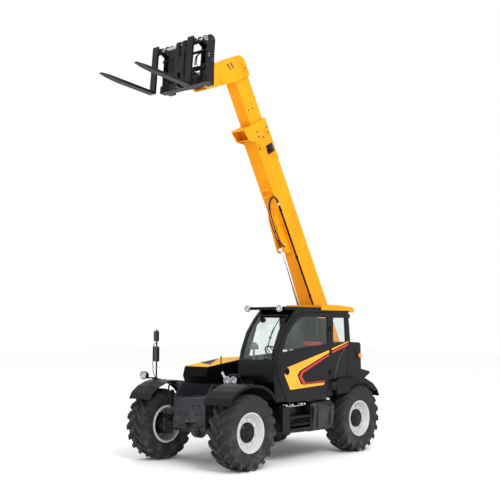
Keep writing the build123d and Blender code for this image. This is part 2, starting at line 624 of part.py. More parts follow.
def cab_shell():
    """Cab body: floor, curved pillars, inner wall and rear wall, with its openings cut."""
    wall = CAB_WALL
    inner, outer = CAB_INNER, CAB_OUTER
    y = FRONT_AXLE_Y
    rear = [(CAB_REAR - 60, CAB_TOP), (CAB_REAR, 2050), (CAB_REAR - 40, 1380), (DOOR_REAR + 60, 1360),
            (DOOR_REAR - 190, CAB_FLOOR)]
    body = side_plate(front_line() + rear, inner, outer)
    room_rear = [(CAB_REAR - 60 - wall, CAB_TOP - 30), (CAB_REAR - wall, 2050), (CAB_REAR - wall, 1420),
                 (DOOR_REAR + 20, 1400), (DOOR_REAR - 215, CAB_FLOOR + wall)]
    room_front = [(p[0] + wall, max(p[1], CAB_FLOOR + wall)) for p in front_line()[:-1]]
    body -= side_plate(room_front + [(y + 1250 + wall, CAB_TOP - 30)] + room_rear, inner + wall, outer - wall)
    body -= side_plate([(front_line()[-2][0] + 160, CAB_TOP - 40), (CAB_REAR - 190, CAB_TOP - 40),
                        (CAB_REAR - 190, CAB_TOP + 5), (front_line()[-2][0] + 160, CAB_TOP + 5)],
                       inner + 90, outer - 130)
    body -= side_plate(door_outline(-DOOR_GAP), outer - wall - 5, outer + 5)
    body -= windscreen_cut()
    body -= side_plate(inner_window(0), inner - 5, inner + wall + 5)
    body -= side_plate(quarter_window(0), outer - wall - 5, outer + 5)
    body -= block(inner + 80, outer - 80, CAB_REAR - 200, CAB_REAR + 50, 1900, 2520)
    body += block(inner + wall, outer - wall, DOOR_REAR - 200, CAB_REAR - wall, 1400, 1440)
    x = outer + HINGE_OUT
    for z in DOOR_HINGES:
        near = HINGE_HALF + SEAT_GAP
        far = near + HINGE_EAR
        for low, high in ((z - far, z - near), (z + near, z + far)):
            body += rod_z(HINGE_RADIUS, low, high, x, DOOR_REAR)
            body += block(outer - 1, x + HINGE_RADIUS, DOOR_REAR, DOOR_REAR + 45, low, high)
        body += rod_z(HINGE_PIN, z - far, z + far, x, DOOR_REAR)
    return body


def door_outline(inset=0):
    """(y, z, r) corners of the door; a positive inset draws it smaller."""
    y = FRONT_AXLE_Y
    i = inset
    return [(y + 1010 + i, CAB_FLOOR - 20 + i), (y + 790 + i, 1430), (y + 715 + i, 1690, 60), (y + 760 + i, 1920),
            (y + 930 + i, 2220), (y + 1190 + i, 2500 - i), (y + 1440, 2590 - i), (DOOR_REAR - i, 2600 - i, 30),
            (DOOR_REAR - i, 1420), (DOOR_REAR - 190 - i, CAB_FLOOR - 20 + i)]


def door_window(inset=0):
    """(y, z, r) corners of the door's window."""
    y = FRONT_AXLE_Y
    i = inset
    return [(y + 850 + i, 1870 + i, 25), (y + 1400, 1960 + i), (DOOR_REAR - 75 - i, 2010 + i, 40),
            (DOOR_REAR - 75 - i, 2535 - i, 70), (y + 1480, 2535 - i), (y + 1290 + i / 2, 2470 - i),
            (y + 1040 + i, 2240)]


def quarter_window(inset=0):
    """(y, z, r) corners of the window behind the door."""
    i = inset
    return [(DOOR_REAR + 90 + i, 2020 + i, 30), (CAB_REAR - 120 - i, 2040 + i, 30),
            (CAB_REAR - 150 - i, 2520 - i, 30), (DOOR_REAR + 90 + i, 2520 - i, 30)]


def inner_window(inset=0):
    """(y, z, r) corners of the long window beside the boom."""
    y = FRONT_AXLE_Y
    i = inset
    return [(y + 900 + i, 1800 + i, 40), (CAB_REAR - 250 - i, 1900 + i, 40), (CAB_REAR - 250 - i, 2520 - i, 40),
            (y + 1350 + i, 2520 - i), (y + 1130 + i, 2370 - i)]


def windscreen_line():
    """(y, z) points up the windscreen, between its lower and upper rails."""
    y = FRONT_AXLE_Y
    return [(y + 684, SILL_Z + 45), (y + 745, 1950), (y + 880, 2240), (y + 1080, 2480), (y + 1150, 2550)]


def windscreen_cut():
    """The opening in the cab's front for the windscreen."""
    line = windscreen_line()
    deep = [(p[0] + 90, p[1]) for p in reversed(line)]
    proud = [(p[0] - 60, p[1]) for p in line]
    return side_plate(proud + deep, CAB_INNER + 50, CAB_OUTER - 75)


def windscreen():
    """Curved windscreen, in facets, set in its opening."""
    line = [(p[0] + 8, p[1]) for p in windscreen_line()]
    back = [(p[0] + GLASS, p[1]) for p in reversed(line)]
    glass = side_plate(line + back, CAB_INNER + 50 + SEAT_GAP, CAB_OUTER - 75 - SEAT_GAP)
    return glass & block(0, 2000, -3000, 3000, SILL_Z + 45 + SEAT_GAP, 2550 - SEAT_GAP)


def cab_glass():
    """Boom-side window, quarter window and rear window."""
    gap = SEAT_GAP
    inner = side_plate(inner_window(gap), CAB_INNER + 10, CAB_INNER + 10 + GLASS)
    quarter = side_plate(quarter_window(gap), CAB_OUTER - 10 - GLASS, CAB_OUTER - 10)
    low, high = 1900 + gap, 2520 - gap
    rear = side_plate([(rear_line(z) - inset, z) for z, inset in (
        (low, 15), (2050, 15), (high, 15), (high, 15 + GLASS), (2050, 15 + GLASS), (low, 15 + GLASS))],
        CAB_INNER + 80 + gap, CAB_OUTER - 80 - gap)
    return Compound(children=[inner, quarter, rear])


def door():
    """The door: a frame as thick as the cab wall, window cut, with its handle recess."""
    outer = CAB_OUTER
    body = side_plate(door_outline(0), outer - CAB_WALL + 5, outer + 6)
    body -= side_plate(door_window(0), outer - CAB_WALL, outer + 10)
    body -= rod_x(HANDLE_CUP, outer - 14, outer + 10, *HANDLE)
    body += rod_x(9, outer - 16, outer - 2, *HANDLE)
    for z in DOOR_HINGES:
        low, high = z - HINGE_HALF, z + HINGE_HALF
        body += rod_z(HINGE_RADIUS, low, high, outer + HINGE_OUT, DOOR_REAR)
        body += block(outer, outer + HINGE_OUT, DOOR_REAR - 60, DOOR_REAR, low, high)
        body -= rod_z(HINGE_PIN + SEAT_GAP, low - 5, high + 5, outer + HINGE_OUT, DOOR_REAR)
    return body


def door_glass():
    """The door's window."""
    return side_plate(door_window(SEAT_GAP), CAB_OUTER - 12, CAB_OUTER - 12 + GLASS)


def roof():
    """Rear roof slab, with a rounded rear edge, over the cab's rear half."""
    y0, y1 = FRONT_AXLE_Y + 2000, FRONT_AXLE_Y + 3020
    lip = CAB_REAR - 45
    profile = [(y0, CAB_TOP + SEAT_GAP), (lip, CAB_TOP + SEAT_GAP), (lip, CAB_TOP - 35), (y1 - 30, CAB_TOP - 32),
               (y1, CAB_TOP + 10, 18), (y1 - 70, CAB_TOP + 68, 40), (y1 - 520, CAB_TOP + 101, 80),
               (y0, CAB_TOP + 101)]
    return side_plate(profile, CAB_INNER + 5, CAB_OUTER + 20)


def roof_guard():
    """Falling-object guard over the front of the roof: a frame with cross bars, and the visor."""
    y0, y1 = FRONT_AXLE_Y + 960, FRONT_AXLE_Y + 2000 - 4
    inner, outer = CAB_INNER + 15, CAB_OUTER - 5
    low = CAB_TOP + SEAT_GAP
    body = block(inner, outer, FRONT_AXLE_Y + 1260, y1, low, low + 14)
    body -= block(inner + 110, outer - 110, FRONT_AXLE_Y + 1330, y1 - 60, low - 5, low + 30)
    body += block(inner, outer, y0, FRONT_AXLE_Y + 1290, low, low + 14)
    for x0 in (inner, outer - 30):
        body += block(x0, x0 + 30, y0, y1, low, low + 50)
    bars = 9
    for i in range(bars):
        y = y0 + 18 + i * (y1 - y0 - 60) / (bars - 1)
        body += block(inner, outer, y, y + 14, low + 20, low + 44)
    return body


def seat():
    """Seat pan and backrest, soft blocks with rounded edges."""
    x = (CAB_INNER + CAB_OUTER) / 2
    y = FRONT_AXLE_Y
    pan = block(x - 235, x + 235, y + 1730, y + 2190, 1500, 1610)
    back = side_plate([(y + 2130, 1610 + SEAT_GAP), (y + 2230, 1610 + SEAT_GAP), (y + 2320, 2080, 34), (y + 2240, 2080, 34)],
                      x - 220, x + 220)
    return Compound(children=[fillet(pan.edges(), 30), back])


def seat_base():
    """Suspension box under the seat."""
    x = (CAB_INNER + CAB_OUTER) / 2
    y = FRONT_AXLE_Y
    floor = CAB_FLOOR + CAB_WALL + SEAT_GAP
    top = 1500 - SEAT_GAP
    return side_plate([(y + 1780, floor), (y + 2020, floor), (y + 2050, 1300), (y + 2050, top), (y + 1760, top),
                       (y + 1760, 1400)], x - 170, x + 170)


def dash():
    """Dashboard and the steering column's root."""
    y = FRONT_AXLE_Y
    profile = [(y + 730, 1300), (y + 860, 1300), (y + 1010, 1560, 20), (y + 1000, 1720, 40), (y + 800, 1740),
               (y + 745, 1720)]
    return side_plate(profile, CAB_INNER + CAB_WALL + SEAT_GAP, CAB_OUTER - 70)


def steering():
    """Steering wheel and column."""
    x = (CAB_INNER + CAB_OUTER) / 2
    centre = Pos(x, FRONT_AXLE_Y + 1180, 1880) * Rot(-38, 0, 0)
    rim_ring = Cylinder(199, 24) - Cylinder(174, 24)
    spokes = Box(370, 26, 14) + Cylinder(42, 30) + Pos(0, 95, 0) * Box(26, 180, 14)
    column = Pos(0, 0, -160) * Cylinder(28, 320)
    return centre * (rim_ring + spokes + column) - dash()


# ------------------------------------------------------ bodywork and fittings
def hood_line(inset=0):
    """(y, z, r) corners of the hood's side, open underneath."""
    i = inset
    seam = HOOD_SEAM + HOOD_GAP
    return [(POD_FRONT - 30 + i, seam - (5 if i else 0)), (POD_FRONT - 95 + i, 1430, 40),
            (POD_FRONT - 40 + i, HOOD_FRONT_TOP - i, 35), (POD_FRONT + 925, HOOD_REAR_TOP - 28 - i),
            (HOOD_REAR - 500, HOOD_REAR_TOP - 12 - i),
            (HOOD_REAR - i, HOOD_REAR_TOP - i, 40), (HOOD_REAR - i, seam - (5 if i else 0))]


def hood():
    """Engine hood: a shell with a bulged nose, open underneath, with its grille opening."""
    wall = HOOD_WALL
    body = side_plate(hood_line(), POD_OUTER, POD_INNER)
    top_edges = body.edges().filter_by(Plane.YZ).filter_by(lambda e: e.center().Z > HOOD_SEAM + 150)
    body = chamfer(top_edges.group_by(Axis.X)[0], 16)
    body -= side_plate(hood_line(wall), POD_OUTER + wall, POD_INNER - wall)
    body -= block(POD_OUTER - 5, POD_OUTER + wall + 5, POD_FRONT + 500, POD_FRONT + 1150, 1350, 1560)
    y = HOOD_REAR + HINGE_OUT
    for x in HOOD_HINGES:
        body += rod_x(HINGE_RADIUS, x - HINGE_HALF, x + HINGE_HALF, y, HOOD_HINGE_Z)
        body += block(x - HINGE_HALF, x + HINGE_HALF, HOOD_REAR - 1, y, HOOD_HINGE_Z - HINGE_RADIUS,
                      HOOD_HINGE_Z + 5)
        body -= rod_x(HINGE_PIN + SEAT_GAP, x - HINGE_HALF - 1, x + HINGE_HALF + 1, y, HOOD_HINGE_Z)
    return body


def hood_hinge_posts():
    """Posts behind the hood, up from the pod's rear deck, with the hood's hinge pins."""
    y = HOOD_REAR + HINGE_OUT
    near = HINGE_HALF + SEAT_GAP
    far = near + HINGE_EAR
    posts = None
    for x in HOOD_HINGES:
        post = block(x - far, x + far, HOOD_REAR - 1, y + HINGE_RADIUS, HOOD_SEAM - 30, HOOD_SEAM)
        for x0, x1 in ((x - far, x - near), (x + near, x + far)):
            post += block(x0, x1, HOOD_REAR + TURN_GAP, y + HINGE_RADIUS, HOOD_SEAM - 1, HOOD_HINGE_Z)
            post += rod_x(HINGE_RADIUS, x0, x1, y, HOOD_HINGE_Z)
        post += rod_x(HINGE_PIN, x - far, x + far, y, HOOD_HINGE_Z)
        posts = post if posts is None else posts + post
    return posts


def hood_grille():
    """Slatted cooling grille in the hood's outer side."""
    x0, x1 = POD_OUTER + 2, POD_OUTER + HOOD_WALL - 2
    gap = SEAT_GAP
    y0, y1, z0, z1 = POD_FRONT + 500 + gap, POD_FRONT + 1150 - gap, 1350 + gap, 1560 - gap
    body = block(x0, x1, y0, y1, z0, z1) - block(x0 - 5, x1 + 5, y0 + 14, y1 - 14, z0 + 14, z1 - 14)
    slats = 7
    for i in range(slats):
        z = z0 + 22 + i * (z1 - z0 - 44) / (slats - 1)
        body += block(x0 + 2, x1 - 2, y0 + 10, y1 - 10, z - 5, z + 5)
    return body


def engine_pod():
    """Fixed tub under the hood, on brackets from the frame."""
    wall = HOOD_WALL
    profile = [(POD_FRONT, 700, 80), (POD_REAR, 700, 80), (POD_REAR, HOOD_SEAM), (POD_FRONT - 30, HOOD_SEAM)]
    body = side_plate(profile, POD_OUTER, POD_INNER)
    body -= block(POD_OUTER + wall, POD_INNER - wall, POD_FRONT + wall, POD_REAR - wall, 700 + wall, HOOD_SEAM + 5)
    rear_deck = block(POD_OUTER, POD_INNER, POD_REAR, HOOD_REAR, HOOD_SEAM - 30, HOOD_SEAM)
    body += rear_deck
    for y in (POD_FRONT + 150, POD_REAR - 260):
        body += block(POD_INNER, -FRAME_HALF, y, y + 60, 800, 930)
        for x in (POD_OUTER, POD_INNER - wall):
            body += block(x, x + wall, y, y + 60, HOOD_SEAM, HOOD_SEAM + HOOD_GAP - SEAT_GAP)
    return body + hood_hinge_posts()


def engine_block():
    """The engine, as one plain block on its mounts."""
    width, length, height = ENGINE
    x = (POD_OUTER + POD_INNER) / 2
    y = (POD_FRONT + POD_REAR) / 2
    return block(x - width / 2, x + width / 2, y - length / 2, y + length / 2, 722 + SEAT_GAP, 722 + height)


def exhaust():
    """Exhaust stack behind the hood, with its cranked outlet."""
    x = -FRAME_HALF - EXHAUST_CLEAR
    y = HOOD_REAR + 60
    body = rod_z(42, 1240, 1660, x, y) + rod_z(29, 1660, 1960, x, y)
    body += block(x, -FRAME_HALF, y - 30, y + 30, 1260, 1300)
    return body - rod_z(24, 1700, 1970, x, y)


def front_fender():
    """Left front fender: a folded arch with a turned-down outer lip and two stays."""
    y = FRONT_AXLE_Y
    t = FENDER_WALL
    over = [(y - 560, 1085), (y - 505, 1190), (y - 365, 1295), (y - 190, 1364), (y - 70, FENDER_TOP), (y + 120, FENDER_TOP),
            (y + 250, 1376), (y + 400, 1330), (y + 535, 1245), (y + 650, 1120)]
    body = side_plate(folded(over, t), 640, 1200)
    body += side_plate(folded(over, 48), 1200 - t, 1200)
    body += block(FRAME_HALF, 700, y - 60, y + 60, 1320, 1320 + t)
    body += block(FRAME_HALF, FRAME_HALF + t, y - 60, y + 60, 1240, 1320 + t)
    return body + block(640, 700, y - 60, y + 60, 1320, FENDER_TOP - 5)


def rear_fender(deck_start):
    """Left rear fender: a deck over the wheel, and a raised arch with a side skirt outside the cab."""
    y = REAR_AXLE_Y
    t = FENDER_WALL
    start = DOOR_REAR + 75
    arch = CAB_OUTER + 10
    tail = [(y + 420, 1258), (y + 575, 1130), (y + 640, 1010)]
    body = side_plate(folded([(deck_start, REAR_DECK), (y + 250, REAR_DECK)] + tail, t), 560, arch + t)
    over = [(start, 1362), (start + 110, 1392), (y - 120, 1400), (y + 180, 1358)] + tail
    body += side_plate(folded(over, t), arch, FENDER_OUTER)
    wall = [(start, REAR_DECK - 6), (y + 250, REAR_DECK - 6), (y + 180, 1354), (y - 120, 1396), (start + 110, 1388),
            (start, 1358)]
    body += side_plate(wall, arch, arch + t)
    skirt = side_plate([(start, 1110, 20), (y + 520, 1110), (y + 575, 1122), (y + 420, 1252), (y + 180, 1352),
                        (y - 120, 1394), (start + 110, 1386), (start, 1356)], FENDER_OUTER - t, FENDER_OUTER)
    body += skirt - rod_x(TYRE_RADIUS + 53, FENDER_OUTER - 115, FENDER_OUTER + 85, y, TYRE_RADIUS)
    body += block(FRAME_HALF, 560, y - 60, y + 60, REAR_DECK - t, REAR_DECK)
    return body + block(FRAME_HALF, FRAME_HALF + t, y - 60, y + 60, 1240, REAR_DECK)


def rear_box():
    """Box behind the cab for the air cleaner and battery, on the rear deck."""
    y0, y1 = CAB_REAR + 25, FRONT_AXLE_Y + 3324
    low = REAR_DECK + SEAT_GAP
    body = side_plate([(y0, low), (y1 + 120, low), (y1 + 300, 1440), (y1 + 300, 1472, 8), (y1 + 8, 1533),
                       (y1, 2034, 50), (y0, 2056, 30)], 400, CAB_OUTER - 60)
    return body


def step_box():
    """Left side box under the door: step recess, treads and a rounded tank behind it."""
    y = FRONT_AXLE_Y
    inner, outer = FRAME_HALF + 20, 1150
    front = side_plate([(y + 880, 520, 60), (y + 1700, 500), (y + 1700, 960), (y + 880, 960, 30)], inner, outer - 20)
    recess = block(outer - 190, outer + 50, y + 1080, y + 1640, 560, 980)
    front -= recess
    for z in (560, 760):
        front += block(outer - 200, outer - 10, y + 1070, y + 1650, z, z + 22)
    for near in (y + 1000, y + 1500):
        front += block(FRAME_HALF, inner, near, near + 80, 700, 800)
    return front


def side_tank():
    """Rounded tank between the step and the rear wheel."""
    y = FRONT_AXLE_Y
    body = front_plate([(FRAME_HALF + 20, 520, 60), (1130, 470, 110), (1165, 900, 60), (1090, 990, 40),
                        (FRAME_HALF + 20, 990, 20)], y + 1712, y + 2310)
    body += rod_z(38, 985, 1012, 1000, y + 2200)
    return body + block(FRAME_HALF, FRAME_HALF + 20, y + 1800, y + 1880, 700, 800) \
        + block(FRAME_HALF, FRAME_HALF + 20, y + 2130, y + 2210, 700, 800)


def cab_mounts():
    """Posts that carry the cab on the frame."""
    y = FRONT_AXLE_Y
    posts = []
    for x in (CAB_INNER + 60, 640):
        for at in (y + 1150, y + 1980):
            posts.append(block(x - 10, x + 50, at, at + 80, 1010 + SEAT_GAP, CAB_FLOOR - SEAT_GAP))
    return Compound(children=posts)


def lamp(radius, depth):
    """A round lamp facing -Y, its glass at the origin."""
    profile = [(0, 0), (radius - 6, 0), (radius, -6), (radius, -depth * 0.45), (radius * 0.55, -depth), (0, -depth)]
    return revolve(Plane.XY * make_face(Polyline(*profile, close=True)), Axis.Y).mirror(Plane.XZ)


def lamps():
    """Headlamps, right fender lamp and roof work lamps, with their brackets."""
    y = FRONT_AXLE_Y
    panel, stalk, guard = y + 345, y - 230, y + 960
    spots = [  # (x, seat's y, z, radius, depth)
        (415, panel, 1423, 72, 110), (570, panel, 1423, 72, 110), (-1088, stalk, 1480, 78, 120),
        (CAB_INNER + 15, guard, CAB_TOP + 20, 62, 80), (CAB_OUTER - 70, guard, CAB_TOP + 20, 62, 80)]
    return Compound(children=[Pos(x, back - depth - SEAT_GAP, z) * lamp(radius, depth)
                              for x, back, z, radius, depth in spots])


def lamp_panel():
    """Upright panel in front of the cab that carries the headlamps."""
    y = FRONT_AXLE_Y
    body = front_plate([(330, 1345), (632, 1345), (632, 1500, 40), (580, 1530, 30), (370, 1530, 30), (330, 1500)],
                       y + 345, y + 365)
    body += block(330, 352, y + 365, y + 640, 1400, 1500)
    return body + block(FRAME_HALF, FRAME_HALF + 14, y + 345, y + 365, 1200, 1346)


def mirror_pole():
    """Mirror pole on the right front fender, with its two mirrors and the lamp's stalk."""
    x, y = -1110, FRONT_AXLE_Y + 0
    foot = FENDER_TOP + SEAT_GAP
    body = rod_z(14, foot, 2290, x, y)
    body += block(x - 45, x + 45, y - 60, y + 60, foot, foot + 12)
    for z, height, width in ((2170, 190, 150), (1850, 270, 190)):
        head = Box(width, 42, height)
        head = fillet(head.edges().filter_by(Axis.Y), 30)
        body += Pos(x + 30, y - 38, z) * Rot(0, 0, -20) * head
    body += rod_y(12, y - 228, y, x + 22, 1425) + rod_z(12, 1413, 1480, x + 22, y - 218)
    return body


def tail_lamps():
    """Rear lamp clusters on the rear fenders."""
    y = REAR_AXLE_Y + SEAT_GAP
    cluster = side_plate([(y + 633.5, 1022.2), (y + 678, 1022.2), (y + 678, 1112.2), (y + 584.8, 1112.2)], 700, 1000)
    return Compound(children=[cluster, mirrored(cluster)])


def beacon():
    """Amber marker lamp on the side of the rear box."""
    return rod_x(45, CAB_OUTER - 60 + SEAT_GAP, CAB_OUTER - 20, FRONT_AXLE_Y + 3265, 1790)


def tow_hitch():
    """Rear drawbar hitch: jaw plates on the frame's end, with a pin bore."""
    body = block(-110, 110, FRAME_REAR, FRAME_REAR + 20, 700, 900)
    for z in (735, 825):
        jaw = flat_plate([(-70, FRAME_REAR + 20), (70, FRAME_REAR + 20), (45, FRAME_REAR + 135, 40),
                          (-45, FRAME_REAR + 135, 40)], z, z + 30)
        body += jaw
    return body - rod_z(16, 700, 900, 0, FRAME_REAR + 85)


def boom_hoses():
    """Two steel oil pipes clipped along the outer section's left side."""
    half = OUTER_WIDTH / 2 + SEAT_GAP
    pipes = None
    for row, below in enumerate((OUTER_BOTTOM + 22, OUTER_BOTTOM + 50)):
        pipe = boom_place(rod_y(9, -3300, -300, half + 14, below))
        pipes = pipe if pipes is None else pipes + pipe
    for along in (450, 1300, 2150, 3150):
        pipes += boom_side([(along, OUTER_BOTTOM + 8), (along + 40, OUTER_BOTTOM + 8), (along + 40, OUTER_BOTTOM + 64),
                            (along, OUTER_BOTTOM + 64)], half, half + 27)
    return pipes


# --------------------------------------------------------------------- build
def build():
    """Every node's shape, by name."""
    shapes = {}
    tyre_shape = tyre()
    axle_z = -tyre_shape.bounding_box().min.Z
    rim_shape, hub_shape, knuckle_shape = rim(), hub(), knuckle(axle_z)
    corners = [  # (name, side, axle's y, steering arm's side)
        ("front_left", 1, FRONT_AXLE_Y, 1), ("front_right", -1, FRONT_AXLE_Y, 1),
        ("rear_left", 1, REAR_AXLE_Y, -1), ("rear_right", -1, REAR_AXLE_Y, -1)]
    for name, side, y, arm in corners:
        at = Pos(TRACK / 2, 0, axle_z)
        wheel = {"tyre": at * tyre_shape, "rim": at * rim_shape, "hub": at * hub_shape,
                 "knuckle": knuckle_shape if arm > 0 else mirror(knuckle_shape, about=Plane.XZ)}
        for piece, shape in wheel.items():
            shapes[f"{piece}_{name}"] = Pos(0, y, 0) * (shape if side > 0 else mirrored(shape))
    shapes["axle_front"] = Pos(0, FRONT_AXLE_Y, 0) * (axle(axle_z) + steer_cylinder(axle_z, 1))
    shapes["axle_rear"] = Pos(0, REAR_AXLE_Y, 0) * Rot(0, 0, 180) * (axle(axle_z) + steer_cylinder(axle_z, 1))
    shapes["chassis_frame"] = chassis_frame(axle_z)
    shapes["chassis_pins"] = chassis_pins()
    shapes["boom_outer"] = boom_outer()
    shapes["boom_inner"] = boom_inner()
    shapes["boom_pads"] = boom_pads()
    shapes["boom_head"] = boom_head()
    shapes["boom_pipes"] = boom_hoses()
    shapes["lift_barrel"] = lift_barrel()
    shapes["lift_rod"] = lift_rod()
    shapes["tilt_pin"] = tilt_pin()
    shapes["carriage"] = carriage()
    shapes["fork_shaft"] = fork_shaft()
    shapes["fork_left"] = fork(FORK_LEFT_X)
    shapes["fork_right"] = fork(FORK_RIGHT_X)
    shapes["cab_shell"] = cab_shell()
    shapes["windscreen"] = windscreen()
    shapes["cab_glass"] = cab_glass()
    shapes["door"] = door()
    shapes["door_glass"] = door_glass()
    shapes["roof"] = roof()
    shapes["roof_guard"] = roof_guard()
    shapes["seat"] = seat()
    shapes["seat_base"] = seat_base()
    shapes["dash"] = dash()
    shapes["steering_wheel"] = steering()
    shapes["cab_mounts"] = cab_mounts()
    shapes["hood"] = hood()
    shapes["hood_grille"] = hood_grille()
    shapes["engine_pod"] = engine_pod()
    shapes["engine_block"] = engine_block()
    shapes["exhaust"] = exhaust()
    left = front_fender()
    shapes["fenders_front"] = Compound(children=[left, mirrored(left)])
    left, right = rear_fender(DOOR_REAR + 75), mirrored(rear_fender(HOOD_REAR + HINGE_OUT + HINGE_RADIUS + TURN_GAP))
    shapes["fenders_rear"] = Compound(children=[left, right])
    shapes["rear_box"] = rear_box()
    shapes["step_box"] = step_box()
    shapes["side_tank"] = side_tank()
    shapes["lamps"] = lamps()
    shapes["lamp_panel"] = lamp_panel()
    shapes["mirror_pole"] = mirror_pole()
    shapes["tail_lamps"] = tail_lamps()
    shapes["beacon"] = beacon()
    shapes["tow_hitch"] = tow_hitch()
    return shapes, axle_z


os.makedirs("parts", exist_ok=True)
nodes, AXLE_Z = build()
for node_name, node_shape in nodes.items():
    export_step(node_shape, f"parts/{node_name}.step")
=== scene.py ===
# %% [markdown]
# # Dressing a telehandler
# The steel of this machine is already modelled: every plate, pin and tyre comes from the
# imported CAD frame, in metres, standing on the ground at Z = 0 with its forks towards -Y.
# Blender's part is the look: paint, glass, rubber, dust, and the small pieces that nobody
# draws in CAD. We load the frame first, because each later place is measured from it.

# %% Load the frame
from math import cos, pi, radians, sin

import bmesh
import bpy
from mathutils import Matrix, Vector


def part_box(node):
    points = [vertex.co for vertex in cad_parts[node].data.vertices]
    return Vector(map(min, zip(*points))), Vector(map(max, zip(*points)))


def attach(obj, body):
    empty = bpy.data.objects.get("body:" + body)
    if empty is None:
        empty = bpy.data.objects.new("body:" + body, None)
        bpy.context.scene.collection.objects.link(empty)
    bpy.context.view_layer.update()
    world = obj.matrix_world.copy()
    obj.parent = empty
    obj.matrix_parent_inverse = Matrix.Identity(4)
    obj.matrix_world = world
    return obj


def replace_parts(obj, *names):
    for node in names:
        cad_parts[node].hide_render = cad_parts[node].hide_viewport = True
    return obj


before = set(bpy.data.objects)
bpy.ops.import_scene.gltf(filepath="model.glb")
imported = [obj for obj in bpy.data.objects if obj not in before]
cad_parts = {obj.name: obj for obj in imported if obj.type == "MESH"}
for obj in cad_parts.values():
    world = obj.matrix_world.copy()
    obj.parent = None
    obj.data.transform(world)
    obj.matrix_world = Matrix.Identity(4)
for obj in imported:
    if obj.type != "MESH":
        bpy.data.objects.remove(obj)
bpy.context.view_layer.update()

# %% [markdown]
# ## Camera, floor and light
# The machine is seen from its front left corner, from about a standing person's eye. A long
# lens keeps the boom straight. The floor is a large pale sheet under a white sky of nearly the
# same brightness, so the horizon hardly shows. Large soft lamps give the paint long, quiet
# highlights; a small one would only put a hard dot on each curve.

# %% Camera
EYE = Vector((10.706, -11.762, 2.355))
EYE_TURN = 41.835          # degrees round from straight ahead
EYE_RISE = 5.006           # degrees above level
camera_data = bpy.data.cameras.new("studio_camera")
camera_data.sensor_width = 36
camera_data.lens = 62.36
camera_data.clip_end = 200
camera = bpy.data.objects.new("studio_camera", camera_data)
camera.location = EYE
camera.rotation_euler = (radians(90 + EYE_RISE), 0, radians(EYE_TURN))
bpy.context.scene.collection.objects.link(camera)
bpy.context.scene.camera = camera


# %% Shader sums: one socket that takes part in Python expressions
class Field:
    """A shader socket, used like a number or a colour in sums."""

    def __init__(self, tree, socket):
        self.tree, self.socket = tree, socket

    def new(self, kind, settings=None, inputs=None, out=0):
        """Adds any node: its settings first, then values or links for its sockets."""
        node = self.tree.nodes.new("ShaderNode" + kind)
        for name, value in (settings or {}).items():
            if name == "stops":
                ramp = node.color_ramp.elements
                while len(ramp) < len(value):
                    ramp.new(0.5)
                for stop, (place, colour) in zip(ramp, value):
                    stop.position, stop.color = place, (*colour, 1)
            else:
                setattr(node, name, value)
        for name, value in (inputs or {}).items():
            if isinstance(value, Field):
                self.tree.links.new(value.socket, node.inputs[name])
            else:
                node.inputs[name].default_value = value
        return Field(self.tree, node.outputs[out])

    def sum(self, operation, first, second=0.0, clamp=False):
        return self.new("Math", {"operation": operation, "use_clamp": clamp}, {0: first, 1: second})

    def __add__(self, other):
        return self.sum("ADD", self, other)

    def __sub__(self, other):
        return self.sum("SUBTRACT", self, other)

    def __rsub__(self, other):
        return self.sum("SUBTRACT", other, self)

    def __mul__(self, other):
        return self.sum("MULTIPLY", self, other)

    def __truediv__(self, other):
        return self.sum("DIVIDE", self, other)

    def __gt__(self, other):
        return self.sum("GREATER_THAN", self, other)

    def __lt__(self, other):
        return self.sum("LESS_THAN", self, other)

    __radd__, __rmul__ = __add__, __mul__

    def axis(self, name):
        """One axis of a vector."""
        return self.new("SeparateXYZ", inputs={0: self}, out="XYZ".index(name))

    def noise(self, scale, detail=3.0, roughness=0.5, stretch=(1, 1, 1)):
        place = self.new("VectorMath", {"operation": "MULTIPLY"}, {0: self, 1: stretch})
        return self.new("TexNoise", inputs={"Vector": place, "Scale": scale, "Detail": detail,
                                            "Roughness": roughness})

    def between(self, low, high):
        """0 below low, 1 above high, smooth between them; turned round if low is above high."""
        smooth = {"interpolation_type": "SMOOTHSTEP"}
        return self.new("MapRange", smooth, {"Value": self, "From Min": low, "From Max": high})

    def mix(self, first, second):
        """The first colour where this mask is 0, the second where it is 1."""
        return self.new("Mix", {"data_type": "RGBA"}, {0: self, 6: first, 7: second}, out=2)


# %% A new finish: the material, its Object coordinates and its main shader
DUST = (0.36, 0.32, 0.26, 1)


def start(name):
    """An empty material with its coordinates, ready for sums."""
    material = bpy.data.materials.new(name)
    material.use_nodes = True
    tree = material.node_tree
    place = Field(tree, tree.nodes.new("ShaderNodeTexCoord").outputs["Object"])
    return material, place, tree.nodes["Principled BSDF"]


def wire(place, shader, **sockets):
    """Feeds fields, or plain values, into the shader's sockets; underscores stand for spaces."""
    for name, value in sockets.items():
        socket = shader.inputs[name.replace("_", " ")]
        if isinstance(value, Field):
            place.tree.links.new(value.socket, socket)
        else:
            socket.default_value = value


def rounded(place, radius=0.004):
    """Normals as if every hard edge were rounded off by the radius."""
    return place.new("Bevel", {"samples": 4}, {"Radius": radius})


def edges(place, radius=0.006):
    """1 along hard edges, 0 on the flats: how far the rounded normal leans off the true one."""
    true = place.new("NewGeometry", out=1)
    both = {0: rounded(place, radius), 1: true}
    lean = place.new("VectorMath", {"operation": "DOT_PRODUCT"}, both, out=1)
    return (1 - lean).between(0.02, 0.16)


def bump(place, height, depth=0.001, strength=1.0, normal=None):
    inputs = {"Height": height, "Distance": depth, "Strength": strength}
    if normal is not None:
        inputs["Normal"] = normal
    return place.new("Bump", inputs=inputs)


print("shader helpers ready")

# %% [markdown]
# ## Paint
# Machine paint is a smooth coat over rolled plate. Three things make it look like that and not
# like plastic: a faint orange-peel ripple, plate edges that are slightly rounded so that they
# catch the light, and a film of road dust that grows towards the ground. A texture picture could
# hold all three, but noise on Object coordinates has no seams and no limit to how near one looks.


